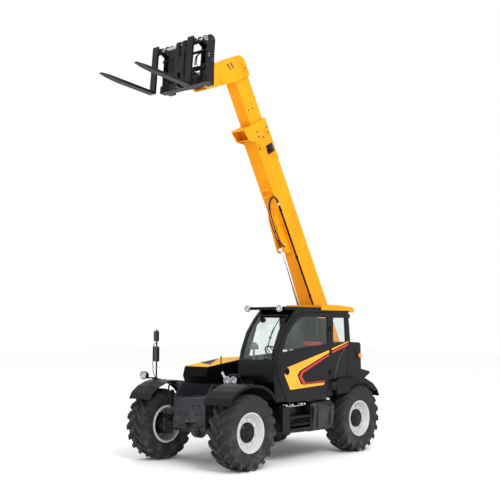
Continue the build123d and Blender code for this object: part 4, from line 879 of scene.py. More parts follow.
# %% Slanted reflector and marker post
lean = turned("Y", -34)
fitted("slanted_reflector", [bar((0.042, 0.010, 0.15), (0.262, -0.78, 1.49), 0.003, lean),
                             bar((0.050, 0.006, 0.16), (0.262, -0.774, 1.49), 0.002, lean),
                             bar((0.075, 0.008, 0.022), (0.315, -0.77, 1.475), 0.002)],
       bowl_mirror)
POST = Vector((-0.49, -0.06, 0))
post_cap = spun([(0, 0.03), (0.010, 0.028), (0.014, 0.020), (0.014, 0.0), (0, 0)], 20)
fitted("width_marker_post", [bar((0.020, 0.014, 0.44), POST + Vector((0, 0, 1.55)), 0.004),
                             bar((0.050, 0.040, 0.012), POST + Vector((0, 0, 1.336)), 0.003),
                             placed(post_cap, POST + Vector((0, 0, 1.765)))], black_paint)
print("marker post at x", POST.x)

# %% [markdown]
# ## Windows: seals and the wiper
# Cab glass sits in a rubber section that laps over the pane, so every window is seen with a soft
# black line round it. A side pane's seal is the window's outline, drawn inwards by sixteen
# millimetres, extruded and rounded. On the windscreen it is a row of short bars that follow the
# screen's bend. The wiper lies over that bend on two thin arms, with the motor's cap at their
# foot.

# %% Outlines
def neighbours(points):
    """Each corner with the one before and the one after it."""
    for i, here in enumerate(points):
        yield Vector(points[i - 1]), Vector(here), Vector(points[(i + 1) % len(points)])


def inward(points, by):
    """The same corners moved towards the outline's inside."""
    area = sum(before.x * here.y - here.x * before.y for before, here, _ in neighbours(points))
    sign = 1 if area > 0 else -1
    out = []
    for before, here, after in neighbours(points):
        first, second = (here - before).normalized(), (after - here).normalized()
        normal = Vector((-first.y - second.y, first.x + second.x)) * sign
        out.append(here + normal * by / max(0.3, 1 + first.dot(second)))
    return out


def ring_plate(points, width, thick):
    """A flat ring between an outline and the same outline drawn inwards."""
    bm = bmesh.new()
    lines = (points, inward(points, width))
    outside, inside = ([bm.verts.new((x, y, 0)) for x, y in line] for line in lines)
    for i in range(len(points)):
        bm.faces.new((outside[i - 1], outside[i], inside[i], inside[i - 1]))
    raised(bm, thick)
    return tidy(bm, 0.003)


def rounded_corners(points, radius, steps=4):
    """Corners cut back by the radius and joined by a few points of a curve."""
    out = []
    for before, here, after in neighbours(points):
        reach = min(radius, 0.4 * (here - before).length, 0.4 * (after - here).length)
        first = here + (before - here).normalized() * reach
        last = here + (after - here).normalized() * reach
        for t in (k / steps for k in range(steps + 1)):
            out.append(first * (1 - t) ** 2 + here * 2 * t * (1 - t) + last * t * t)
    return out


# %% Window seals
DOOR_WINDOW = [(-0.255, 1.87), (0.295, 1.96), (1.08, 2.01), (1.08, 2.535), (0.375, 2.535), (0.185, 2.47),
               (-0.065, 2.24)]
QUARTER = [(1.245, 2.02), (1.675, 2.02), (1.645, 2.52), (1.245, 2.52)]
INNER_WINDOW = [(-0.205, 1.80), (1.545, 1.90), (1.545, 2.52), (0.245, 2.52), (0.025, 2.37)]
PANES = [  # (name, outline, where its pane lies, body)
    ("door", DOOR_WINDOW, 1.1125, "cab_door"), ("quarter", QUARTER, 1.1085, "chassis"),
    ("inner", INNER_WINDOW, 0.2870, "chassis")]
for name, outline, x, body in PANES:
    seal = placed(ring_plate(rounded_corners(outline, 0.05), 0.016, 0.008), (x, 0, 0), SIDEWAYS)
    fitted("window_seal_" + name, seal, seal_rubber, body)
# A dark sheet on the rear half of the inner window and on the rear window darkens the view through the door
# window: painted shade.
SHADE = [(0.72, 1.91), (1.535, 1.91), (1.535, 2.51), (0.72, 2.51)]
INNER_PANE = 0.306
fitted("painted_shade_sheet", [placed(plate(SHADE, 0.002, 0.0005), (INNER_PANE, 0, 0), SIDEWAYS),
                      bar((0.340, 0.002, 0.60), (0.550, 1.742, 2.205), 0.0005)], painted_shade_glass)
fitted("inner_pillar", bar((0.016, 0.045, 0.60), (INNER_PANE, 0.705, 2.210), 0.005), cabin_plastic)
print("seals on", len(PANES), "side panes")

# %% Windscreen seal and wiper
SCREEN = [(-0.421, 1.755), (-0.36, 1.95), (-0.225, 2.24), (-0.025, 2.48), (0.045, 2.55)]
HEIGHTS = [1.765 + 0.0345 * i for i in range(23)]


def on_screen(x, height, off):
    """A place on the windscreen, off its face by a distance."""
    for (y0, z0), (y1, z1) in zip(SCREEN, SCREEN[1:]):
        if height <= z1:
            y = y0 + (y1 - y0) * (height - z0) / (z1 - z0)
            return Vector((x, y, height)) + Vector((0, z0 - z1, y1 - y0)).normalized() * off


def screen_strip(x, heights, off, width, thick, overlap, edge):
    """A strip up the screen, in short bars that follow its bend."""
    bars = []
    for low, high in zip(heights, heights[1:]):
        a, b = on_screen(x, low, off), on_screen(x, high, off)
        turn = (b - a).to_track_quat("Z", "Y").to_matrix().to_4x4()
        bars.append(bar((width, thick, (b - a).length + overlap), (a + b) / 2, edge, turn))
    return bars


strips = []
for x in (0.342, 1.038):
    strips += screen_strip(x, HEIGHTS, 0.006, 0.016, 0.010, 0.004, 0.002)
for z in (1.765, 2.535):
    strips.append(bar((0.70, 0.012, 0.016), on_screen(0.69, z, 0.006), 0.002))
fitted("window_seal_front", strips, seal_rubber)

WIPER_X = 0.91
arms = []
for x in (WIPER_X - 0.015, WIPER_X + 0.015):
    for low, high in ((1.775, 1.95), (1.95, 2.15), (2.15, 2.33)):
        arms.append(rod(0.004, on_screen(x, low, 0.030), on_screen(x, high, 0.028)))
arms += screen_strip(WIPER_X, HEIGHTS[5:21], 0.014, 0.009, 0.014, 0.006, 0.001)
arms.append(bar((0.045, 0.024, 0.03), on_screen(WIPER_X, 2.14, 0.024), 0.004))
foot = spun([(0, 0.022), (0.012, 0.020), (0.020, 0.010), (0.022, -0.03), (0, -0.03)], 20)
arms.append(placed(foot, on_screen(WIPER_X, 1.775, 0.022), FORWARDS))
fitted("screen_wiper", arms, black_paint)
print("wiper at x", WIPER_X)

# %% [markdown]
# ## The driver's place
# Through the glass one reads a few things at once: the steering wheel with its spokes, the dash
# with a tall rounded pod, levers beside the seat and the mirror under the roof. The wheel is a
# ring spun round its column with three flat spokes; the pod is a hemisphere that is drawn taller.

# %% Steering wheel
seat_low, seat_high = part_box("seat")
MID = round((seat_low.x + seat_high.x) / 2, 4)
WHEEL_AT = Vector((MID, 0.075, 1.88))
RIM, GRIP = 0.187, 0.0125
grip = spun([(RIM + GRIP * cos(2 * pi * i / 14), GRIP * sin(2 * pi * i / 14)) for i in range(15)], 56)
boss = spun([(0, 0.012), (0.036, 0.010), (0.046, 0.002), (0.048, -0.012), (0.030, -0.030), (0.030, -0.06),
             (0, -0.06)], 32)
spokes = [placed(bar((0.160, 0.030, 0.008), (0.108, 0, 0), 0.003), turn=turned("Z", a))
          for a in (30, 150, 270)]
column = spun([(0, -0.05), (0.026, -0.05), (0.030, -0.10), (0.034, -0.11), (0.034, -0.26), (0.042, -0.28),
               (0.042, -0.32), (0, -0.32)], 28)
knob = spun([(0, 0.05), (0.014, 0.046), (0.020, 0.032), (0.016, 0.014), (0.008, 0.0), (0, 0)], 20)
placed(knob, (0.14, -0.125, 0.008))
wheel_shape = placed(joined([grip, boss, *spokes, column, knob]), WHEEL_AT, turned("X", -38))
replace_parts(fitted("steering_wheel_dressed", wheel_shape, cabin_plastic), "steering_wheel")
print("steering wheel at", [round(v, 3) for v in WHEEL_AT])

# %% Pod, console, levers and mirror
POD_X, POD_Y = 0.43, -0.18
dome = spun([(0, 0.098), (0.034, 0.093), (0.064, 0.075), (0.086, 0.048), (0.096, 0.014), (0.098, 0.0),
             (0.092, -0.012), (0, -0.014)], 40)
fitted("dash_pod", [placed(dome, (POD_X, POD_Y, 1.955), scale=(1.0, 0.72, 1.15)),
                    rod(0.016, (POD_X, POD_Y, 1.73), (POD_X, POD_Y, 1.95))], grey_plastic)
fitted("dash_cluster", [bar((0.24, 0.12, 0.085), (0.70, -0.20, 1.765), 0.02, turned("X", -22)),
                        bar((0.12, 0.10, 0.06), (0.93, -0.19, 1.755), 0.015)], cabin_plastic)
sticks = []
for x, y, z in ((0.625, 0.02, 1.90), (0.745, 0.02, 1.905)):
    sticks.append(rod(0.005, (MID, 0.0, 1.80), (x, y, z)))
    sticks.append(rod(0.010, (x, y, z), (x - 0.04, y + 0.02, z + 0.02)))
for y in (0.62, 0.70):
    grip_ball = spun([(0, 0.07), (0.016, 0.064), (0.022, 0.045), (0.016, 0.012), (0.012, 0), (0, 0)], 20)
    sticks.append(rod(0.006, (0.99, y, 1.60), (0.97, y - 0.04, 1.80)))
    sticks.append(placed(grip_ball, (0.97, y - 0.04, 1.79)))
sticks.append(bar((0.11, 0.42, 0.14), (0.985, 0.72, 1.56), 0.025))
sticks.append(bar((0.09, 0.34, 0.05), (0.985, 0.86, 1.68), 0.02))
fitted("side_console", sticks, cabin_plastic)
disc = spun([(0, 0.014), (0.040, 0.012), (0.048, 0.006), (0.050, -0.004), (0, -0.004)], 28)
fitted("inside_mirror", [rod(0.005, (0.47, 0.12, 2.56), (0.45, 0.05, 2.48)),
                         placed(disc, (0.45, 0.05, 2.455), turned("X", -100), (1.3, 0.9, 1))], black_paint)
print("console and levers:", len(sticks), "shapes")

# %% [markdown]
# ## Front end: mirrors, fenders, plate and hood
# The mirrors are shells with a pane let into a raised lip on their rear face. The fenders are
# held by rows of round-headed bolts along their lips, the cross plate by a pattern of hexagon
# bolts. The hood has bars across its side grille and a latch on its edge. Small as they are,
# such rows tell the eye how big the machine is.

# %% Mirrors on the pole
POLE = Vector((-1.110, -1.105, 0))
POLE_CLAMP = [(0, 0.02), (0.020, 0.02), (0.024, 0.014), (0.024, -0.014), (0.020, -0.02), (0, -0.02)]


def rectangle(wide, tall):
    """Four corners round the origin."""
    return [(-wide / 2, -tall / 2), (wide / 2, -tall / 2), (wide / 2, tall / 2), (-wide / 2, tall / 2)]


glasses, shells = [], []
for z, tall, wide in ((2.170, 0.190, 0.150), (1.850, 0.270, 0.190)):
    place_of = Matrix.Translation(POLE + Vector((0.030, -0.038, z))) @ turned("Z", -20)
    rim_line = rectangle(wide, tall)
    glass = plate(rounded_corners(inward(rim_line, 0.012), 0.026), 0.003, 0.001)
    glasses.append(placed(placed(glass, (0, 0.0245, 0), FORWARDS), turn=place_of))
    lip = ring_plate(rounded_corners(inward(rim_line, 0.001), 0.030), 0.012, 0.007)
    shells.append(placed(placed(lip, (0, 0.027, 0), FORWARDS), turn=place_of))
    for k in (-1, 0, 1):
        rib = bar((0.62 * wide, 0.006, 0.007), (0, -0.022, k * 0.22 * tall), 0.002)
        shells.append(placed(rib, turn=place_of))
    shells.append(placed(spun(POLE_CLAMP, 24), POLE + Vector((0, 0, z))))
fitted("mirror_glasses", glasses, mirror_glass)
fitted("mirror_shells", shells, cabin_plastic)
BRACKET = [(0, 0, 1.42), (-0.05, -0.02, 1.46), (-0.064, -0.03, 1.60), (-0.064, -0.03, 1.86),
           (-0.060, -0.03, 2.00), (-0.02, -0.01, 2.045), (0, 0, 2.05)]
CABLE = [(0.022, -0.20, 1.44), (0.024, -0.12, 1.408), (0.020, -0.03, 1.412), (0.035, 0.03, 1.404),
         (0.06, 0.08, 1.396)]
tube("mirror_bracket", [POLE + Vector(at) for at in BRACKET], 0.007, black_paint, "chassis")
tube("lamp_cable", [POLE + Vector(at) for at in CABLE], 0.004, hose_rubber, "chassis", 8)
print("mirrors:", len(glasses))


# %% Fender bolts and the right stay
def button(width=0.024):
    """A round-headed bolt on its washer, standing along Z."""
    return spun([(0, 0.009), (0.20 * width, 0.0085), (0.40 * width, 0.005), (0.46 * width, 0.002),
                 (0.62 * width, 0.002), (0.62 * width, 0), (0, 0)], 20)


FENDER_ROWS = [  # (along the machine, out from its middle, the fender's top)
    ((-1.30, -0.95), (0.88, 1.05), 1.3895), ((1.66, 2.00), (0.86, 1.05), 1.3990)]
buttons = []
for side in (1, -1):
    for row, outs, top in FENDER_ROWS:
        for y in row:
            buttons += [placed(button(), (side * out, y, top)) for out in outs]
fitted("fender_bolts", buttons, iron)
STAY = [(-0.62, -1.20, 1.345), (-0.56, -1.32, 1.32), (-0.48, -1.375, 1.22), (-0.425, -1.385, 1.10),
        (-0.405, -1.38, 0.95), (-0.400, -1.37, 0.84), (-0.370, -1.357, 0.80)]
tube("fender_stay", STAY, 0.015, black_paint, "chassis", 12)
print("fender bolts:", len(buttons))

# %% Bolts and hoses of the front plate
FRONT = [(-0.229, 0.848), (-0.069, 0.848), (0.149, 0.848), (0.269, 0.848), (0.100, 1.007), (0.258, 1.007),
         (-0.294, 1.100), (0.183, 1.160), (-0.340, 0.700), (0.340, 0.700), (0.330, 1.120), (-0.180, 1.160)]
front_bolts = [hexagon(0.024, 0.011, (x, -1.3545, z), FORWARDS) for x, z in FRONT]
fitted("front_plate_bolts", front_bolts, black_paint)
FRONT_HOSES = {
    "left": [(0.10, -1.345, 0.74), (0.12, -1.42, 0.70), (0.18, -1.44, 0.66), (0.26, -1.40, 0.645),
             (0.30, -1.33, 0.66)],
    "right": [(-0.06, -1.345, 0.73), (-0.10, -1.41, 0.69), (-0.17, -1.42, 0.655), (-0.24, -1.36, 0.65),
              (-0.27, -1.30, 0.67)]}
for side, route in FRONT_HOSES.items():
    tube("front_hose_" + side, route, 0.012, hose_rubber, "chassis")
fitted("front_couplings", [rod(0.016, (x, -1.352, z), (x, -1.330, z + 0.010), 0.002, 6)
                           for x, z in ((0.10, 0.742), (-0.06, 0.732))], zinc)
print("front plate bolts:", len(front_bolts))

# %% Hood: grille bars and latch; engine box bolts and exhaust clamps
louvres = [bar((0.010, 0.640, 0.007), (-1.1215, 0.480, 1.365 + 0.0185 * i), 0.002, turned("Y", 24))
           for i in range(11)]
louvres += [bar((0.012, 0.010, 0.205), (-1.122, 0.165 + 0.157 * i, 1.455), 0.003) for i in range(5)]
fitted("grille_bars", louvres, black_paint, "engine_hood")
fitted("hood_latch", [bar((0.014, 0.075, 0.034), (-1.12, 0.070, 1.335), 0.004),
                      bar((0.010, 0.020, 0.050), (-1.12, 0.090, 1.339), 0.003)], steel, "engine_hood")
fitted("pod_bolts", [placed(button(0.026), (-1.1275, y, z), along_x(-1))
                     for y in (-0.28, 0.18, 0.62, 1.06) for z in (0.76, 1.24)], zinc)
CLAMP = [(0.041, -0.012), (0.046, -0.012), (0.046, 0.012), (0.041, 0.012), (0.041, -0.012)]
fitted("exhaust_clamps", [placed(spun(CLAMP, 36), (-0.440, 1.855, z)) for z in (1.34, 1.62)], steel)
print("grille bars:", len(louvres))

# %% [markdown]
# ## The boom: collar, head and hoses
# The boom is a box welded from plate, so its small parts sit on flat faces: adjusting screws for
# the wear pads round the collar, a roller cover where the hoses leave, slots cut in the head, pin
# caps with their keeper plates, and a bead along each weld. They are all placed along the boom
# first, as (out, along, above), and turned with it once: that keeps their numbers the same ones
# a workshop would measure. Along the boom is -Y in those directions.

# %% Places on the boom
BOOM = Matrix.Translation((0, 2.545, 1.850)) @ turned("X", -61)


def boom_place(out, along, above):
    return BOOM @ Vector((out, -along, above))


def on_boom(name, parts, material, body="boom", angle=35):
    """Shapes given in the boom's own directions, turned with it."""
    return fitted(name, placed(joined(parts), turn=BOOM), material, body, angle=angle)


def on_sides(shape_of, out, places):
    """Copies on both sides of the boom, pointing outwards."""
    return [placed(shape_of(), (side * out, -along, above), along_x(side))
            for side in (1, -1) for along, above in places]


def pad_screw():
    return joined([hexagon(0.034, 0.012), rod(0.008, (0, 0, 0), (0, 0, 0.020), 0.001, 12)])


def small_screw():
    return hexagon(0.024, 0.008)


COLLAR = [(4.736, -0.037), (4.637, -0.032), (4.729, 0.272), (4.626, 0.250), (4.584, 0.090), (4.420, -0.110)]
SECTION = [(5.162, 0.094), (5.162, -0.02)]
on_boom("collar_screws", on_sides(pad_screw, 0.1585, COLLAR), iron)
on_boom("section_screws", on_sides(small_screw, 0.1215, SECTION), black_paint, "boom_section")
covers = [bar((0.010, 0.17, 0.20), (side * 0.163, -4.33, 0.170), 0.004) for side in (1, -1)]
covers += [bar((0.016, 0.09, 0.12), (side * 0.166, -4.33, 0.170), 0.007) for side in (1, -1)]
on_boom("roller_cover", covers, black_paint)
print("collar screws:", 2 * len(COLLAR))


# %% Welds
def bead(route, radius=0.005):
    """A weld bead: a bar along a route whose thickness wanders a little."""
    bm = bmesh.new()
    rings = []
    for first, last in zip(route, route[1:]):
        first, last = Vector(first), Vector(last)
        steps = max(2, int((last - first).length / 0.012))
        turn = (last - first).to_track_quat("Z", "Y").to_matrix()
        for k in range(steps + 1):
            at = first.lerp(last, k / steps)
            wide = radius * (1 + 0.22 * sin(17 * k) * sin(5.3 * k))
            rings.append([bm.verts.new(at + turn @ Vector((wide * cos(a), wide * sin(a), 0)))
                          for a in (2 * pi * i / 6 for i in range(6))])
    for low, high in zip(rings, rings[1:]):
        for i in range(6):
            bm.faces.new((low[i], low[(i + 1) % 6], high[(i + 1) % 6], high[i]))
    bm.faces.new(rings[0][::-1])
    bm.faces.new(rings[-1])
    bmesh.ops.recalc_face_normals(bm, faces=bm.faces)
    return bm


beads = []
for side in (1, -1):
    beads.append(bead([(side * 0.146, -4.080, 0.316), (side * 0.146, -4.555, -0.150)]))
    beads.append(bead([(side * 0.090, -2.16, -0.158), (side * 0.090, -2.66, -0.158)]))
    for along in (3.50, 3.64):
        ends = ((side * 0.092, 0.034 - along, -0.157), (side * 0.092, -0.034 - along, -0.157))
        beads.append(bead(ends))
for above in (0.316, -0.151):
    for side in (1, -1):
        beads.append(bead([(side * 0.1445, -0.10, above), (side * 0.1445, -4.06, above)], 0.0035))
on_boom("boom_welds", beads, boom_paint, angle=60)
print("weld beads:", len(beads))

# %% Hoses along the boom
LIFT_HOSES = (0.098, 0.124)         # how far out the two hoses end
for i, out in enumerate(LIFT_HOSES):
    row, wide = -0.133 + 0.028 * i, 0.030 * (1 - i)
    route = [(0.159, 3.30, row), (0.159, 3.40, row), (0.158, 3.46 + wide, -0.17),
             (0.150, 3.47 + wide, -0.26), (0.138, 3.38, -0.36 - wide), (out + 0.010, 3.14, -0.415 - wide),
             (out, 2.84, -0.420 - wide), (out, 2.62, -0.40 - wide), (out, 2.52, -0.34), (out, 2.49, -0.30)]
    tube(f"lift_hose_{i}", [boom_place(*at) for at in route], 0.0105, hose_rubber, "boom")
ends = [rod(0.0125, (out, -2.502, -0.300), (out, -2.535, -0.335), 0.002, 6) for out in LIFT_HOSES]
ends += [rod(0.0135, (0.159, -3.27, above), (0.159, -3.325, above), 0.002, 6)
         for above in (-0.133, -0.105)]
ends.append(bar((0.034, 0.05, 0.03), (0.105, -2.495, -0.287), 0.004))
on_boom("hose_ends", ends, zinc)
clips = [bar((0.030, 0.022, 0.012), (0.115, -2.86, -0.437), 0.003)]
clips += [placed(small_screw(), (0.1585, -along, -0.137), along_x())
          for along in (0.49, 1.34, 2.19, 3.19)]
on_boom("hose_clips", clips, black_paint)
print("lift hoses:", len(LIFT_HOSES))


# %% Head: slots, pin caps and screws
def pin_cap():
    """A pin's end in its ring, with a keeper plate and one screw."""
    end = spun([(0, 0.012), (0.026, 0.012), (0.030, 0.008), (0.030, 0.003), (0.042, 0.003), (0.046, 0),
                (0, 0)], 32)
    keeper = bar((0.030, 0.075, 0.006), (0, 0.035, 0.006), 0.002)
    return joined([end, keeper, hexagon(0.018, 0.007, (0, 0.060, 0.008))])


HEAD_SIDE = 0.1645                  # the head's outer face, from the boom's middle
# Each slot is a thin dark plate on the head's face: painted shade standing in for the slot's recess, which is
# not cut.
slots = []
for side in (1, -1):
    for ends in (((6.105, -0.222), (5.987, -0.172)), ((6.108, -0.124), (5.985, -0.083))):
        first, last = (Vector((side * 0.1652, -along, above)) for along, above in ends)
        turn = Matrix.Rotation((last - first).angle(Vector((0, 1, 0))) * 0.9, 4, "X")
        slots.append(bar((0.0016, (last - first).length, 0.032), (first + last) / 2, 0.0007, turn))
on_boom("head_slot_shades", slots, dark_print_and_slot_shade, "boom_section")
HEAD_PINS = [(6.000, 0.180), (5.900, -0.510)]
HEAD_SCREWS = [(5.868, -0.314), (6.160, -0.360), (6.140, 0.060), (5.860, 0.020)]
on_boom("head_pin_caps", on_sides(pin_cap, HEAD_SIDE, HEAD_PINS), boom_paint, "boom_section")
on_boom("head_screws", on_sides(small_screw, HEAD_SIDE, HEAD_SCREWS), boom_paint, "boom_section")
print("head's pin caps at", [round(v, 3) for v in boom_place(HEAD_SIDE, *HEAD_PINS[0])])

# %% Lift cylinder: gland, ports and pipe
FOOT = Vector((0, 2.345, 1.220))
ROD_EYE = boom_place(0, 2.420, -0.275)
LIFT = Matrix.Translation(FOOT) @ (ROD_EYE - FOOT).to_track_quat("Z", "Y").to_matrix().to_4x4()
gland = [spun([(0.040, 1.652), (0.060, 1.652), (0.0665, 1.646), (0.0665, 1.622), (0.070, 1.618),
               (0.0725, 1.612), (0.0725, 1.566), (0.069, 1.562), (0.066, 1.560), (0.040, 1.560),
               (0.040, 1.652)], 48)]
gland += [placed(bar((0.012, 0.006, 0.030), (0.0705, 0, 1.590), 0.001), turn=turned("Z", 45 * i))
          for i in range(8)]
gland.append(spun([(0.0365, 1.660), (0.043, 1.660), (0.050, 1.652), (0.0365, 1.652),
                   (0.0365, 1.660)], 40))
fitted("cylinder_gland", placed(joined(gland), turn=LIFT), black_paint, "lift_cylinder")
PIPE = 0.086                        # the pipe's distance from the cylinder's axis
ports = [bar((0.030, 0.034, 0.046), (0.074, 0, along), 0.004) for along in (0.16, 1.50)]
ports.append(hexagon(0.024, 0.012, (0.088, 0, 0.20), along_x()))
ports.append(rod(0.0065, (PIPE, 0, 0.18), (PIPE, 0, 1.49), 0.001, 14))
ports += [rod(0.011, (PIPE, 0, along), (PIPE, 0, along + 0.026), 0.002, 6) for along in (0.185, 1.455)]
fitted("cylinder_ports", placed(joined(ports), turn=LIFT), steel, "lift_cylinder")
print("lift cylinder's length now", round((ROD_EYE - FOOT).length, 3))

# %% [markdown]
# ## Fork carriage
# The carriage is plate and bar, worn where the forks slide. What is added is what a fitter adds:
# bolted keepers on the shaft's ends, a valve block with its couplings and hoses between the
# columns, screws in the columns' edges and a hook lock with its pin on each fork.

# %% Carriage fittings
CARRIAGE = "fork_carriage"
keepers = [placed(hexagon(0.030, 0.010), (x, -1.555, 7.234), along_x(side))
           for x, side in ((0.5745, 1), (-0.7095, -1))]
for side in (1, -1):
    for y, z in ((-1.395, 7.262), (-1.395, 6.560), (-1.460, 6.540), (-1.390, 6.900)):
        keepers.append(placed(hexagon(0.026, 0.009), (side * 0.5445, y, z), along_x(side)))
fitted("carriage_bolts", keepers, iron, CARRIAGE)
fitted("valve_block", [bar((0.110, 0.085, 0.060), (0.250, -1.475, 6.780), 0.005),
                       bar((0.050, 0.055, 0.050), (0.470, -1.462, 6.965), 0.004)], black_paint, CARRIAGE)

OIL_LINE = -1.475                   # Y of the block's couplings
couplings = []
for x in (0.215, 0.250, 0.285):
    couplings.append(hexagon(0.024, 0.014, (x, OIL_LINE, 6.809)))
    couplings.append(rod(0.009, (x, OIL_LINE, 6.812), (x, OIL_LINE, 6.846)))
for z in (6.950, 6.985):
    couplings.append(rod(0.013, (0.492, OIL_LINE, z), (0.540, OIL_LINE, z), 0.002, 6))
    couplings.append(rod(0.009, (0.538, OIL_LINE, z), (0.562, OIL_LINE, z)))
fitted("carriage_couplings", couplings, zinc, CARRIAGE)
LOW = 6.845                         # where its hoses start
for i, x in enumerate((0.215, 0.250)):
    end = 6.950 + 0.035 * i
    route = [(x, OIL_LINE, LOW), (x, OIL_LINE, LOW + 0.06), (x + 0.03, -1.480, LOW + 0.15 + 0.02 * i),
             (x + 0.12, -1.485, LOW + 0.19), (0.440, -1.480, LOW + 0.17), (0.470, -1.478, end + 0.02),
             (0.480, OIL_LINE, end), (0.494, OIL_LINE, end)]
    tube(f"carriage_hose_{i}", route, 0.010, hose_rubber, CARRIAGE)

locks = []
for middle in (0.270, -0.620):
    locks.append(bar((0.060, 0.020, 0.080), (middle, -1.508, 7.250), 0.005))
    locks.append(rod(0.008, (middle - 0.045, -1.512, 7.285), (middle + 0.045, -1.512, 7.285)))
    locks.append(rod(0.010, (middle, -1.512, 7.290), (middle, -1.512, 7.318), 0.003))
fitted("fork_locks", locks, steel, CARRIAGE)
lines = [bar((0.86, 0.004, 0.010), (0, -1.4325, z), 0.001) for z in (6.71, 6.725)]
fitted("carriage_weld_lines", lines, black_paint, CARRIAGE)
print("carriage bolts:", len(keepers))

# %% [markdown]
# ## The seat
# The driver's seat is foam under stretched cloth: full in the middle, pulled in along its sewn
# channels, soft at its corners. A bevelled block would look like a suitcase, so each cushion
# starts as a slightly smaller block with a fine even mesh and is blown up a little as cloth; how
# far a point may move is capped, so that it stays in the space of its CAD solid. The channels are
# pressed in afterwards, because the fine mesh would lose them.

# %% Cushions
SWELL = 0.012              # how far a point may move
FRAMES = 20                # of the cloth simulation
PRESSED_IN = 0.007         # a channel's depth


def made(holder):
    """The mesh of an object with its modifiers, at the current frame."""
    return bpy.data.meshes.new_from_object(holder.evaluated_get(bpy.context.evaluated_depsgraph_get()))


def blown(bm, cap):
    mesh = bpy.data.meshes.new("cushion")
    bm.to_mesh(mesh)
    bm.free()
    holder = bpy.data.objects.new("cushion", mesh)
    bpy.context.scene.collection.objects.link(holder)
    remesh = holder.modifiers.new("even", "REMESH")
    remesh.mode = "VOXEL"
    remesh.voxel_size = 0.006
    bpy.context.view_layer.update()
    even = made(holder)
    holder.modifiers.remove(remesh)
    holder.data = even
    cloth = holder.modifiers.new("air", "CLOTH")
    cloth.settings.use_pressure = True
    cloth.settings.uniform_pressure_force = 4
    cloth.settings.effector_weights.gravity = 0
    cloth.point_cache.frame_start = 1
    cloth.point_cache.frame_end = FRAMES
    for frame_number in range(1, FRAMES + 1):
        bpy.context.scene.frame_set(frame_number)
    rest = [v.co.copy() for v in even.vertices]
    swollen = made(holder)
    for vert, first in zip(swollen.vertices, rest):
        step = vert.co - first
        if step.length > cap:
            vert.co = first + step * (cap / step.length)
    bpy.context.scene.frame_set(1)
    bpy.data.objects.remove(holder)
    out = bmesh.new()
    out.from_mesh(swollen)
    return out


def cushion(name, size, place_of, material, channels, cap=SWELL):
    """One padded piece: blown up, its channels pressed in from above, then put in its place."""
    start_size = tuple(v - 2 * cap for v in size)
    bm = blown(bar(start_size, edge=0.3 * min(start_size)), cap)
    bmesh.ops.recalc_face_normals(bm, faces=bm.faces)
    for vert in bm.verts:
        if vert.co.z > 0:
            press = sum(PRESSED_IN * max(0.0, 1 - abs(vert.co[axis] - at) / 0.010) ** 2
                        for axis, at in channels)
            vert.co.z -= min(press, 0.008)
    piece = shown(placed(bm, turn=place_of), name, material, "chassis")
    piece.data.shade_smooth()
    finer = piece.modifiers.new("finer", "SUBSURF")
    finer.levels = finer.render_levels = 1
    return piece


BACK = Matrix.Translation((MID, 1.080, 1.615)) @ turned("X", -12.5)
pan = cushion("seat_pan_cushion", (0.462, 0.452, 0.108), Matrix.Translation((MID, 0.857, 1.555)),
              seat_cloth, [(0, -0.125), (0, 0.125), (1, -0.02)])
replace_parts(pan, "seat")
cushion("seat_back_cushion", (0.430, 0.330, 0.084), BACK @ Matrix.Translation((0, 0, 0.178)) @ FORWARDS,
        seat_cloth, [(0, -0.115), (0, 0.115), (1, 0.03)])
cushion("seat_top_cushion", (0.420, 0.118, 0.078), BACK @ Matrix.Translation((0, 0.004, 0.408)) @ FORWARDS,
        seat_red, [(0, -0.09), (0, 0.09)], 0.008)
fitted("seat_shell", [placed(bar((0.36, 0.012, 0.40), (0, 0.047, 0.22), 0.005), turn=BACK),
                      bar((0.40, 0.40, 0.012), (MID, 0.86, 1.503), 0.004)], cabin_plastic)
print("cushions blown up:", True, "with the pan at", MID)

# %% [markdown]
# ## Sides: door, steps, tank and rear quarter
# The left side is where the driver climbs in, so it is full of small things: a handle in its cup,
# hinge screws, steel tread bars with gripping teeth, oil couplings over the step box, a filler
# cap on the tank. The rear quarter has a pressed line where two panels meet, and the tail lamps
# are moulded in coloured fields.

# %% Door fittings
cup = spun([(0.0435, 0.002), (0.047, 0.0015), (0.049, 0), (0.0435, 0), (0.0435, 0.002)], 36)
fitted("door_handle", [bar((0.010, 0.024, 0.060), (1.118, *HANDLE), 0.004),
                       rod(0.013, (1.116, -0.082, 1.545), (1.126, -0.082, 1.545)),
                       placed(cup, (1.1258, *HANDLE), along_x())], black_paint, "cab_door")
fitted("door_pull", bar((0.018, 0.55, 0.030), (1.082, 0.42, 1.62), 0.008), cabin_plastic, "cab_door")
screws = [placed(button(0.020), (1.1262, 1.125, z), along_x()) for z in (1.338, 1.362, 2.238, 2.262)]
fitted("door_screws", screws, black_paint, "cab_door")
print("door screws:", len(screws))

# %% Quarter panel's pressed line, its rear edge and the rear box's latch
QUARTER_FACE = 1.1215
PRESSED = [(1.72, 2.02), (1.60, 1.93), (1.47, 1.80), (1.37, 1.64), (1.30, 1.45), (1.255, 1.26)]
REAR_EDGE = [(1.72, 2.045), (1.71, 1.90), (1.70, 1.60), (1.70, 1.40)]
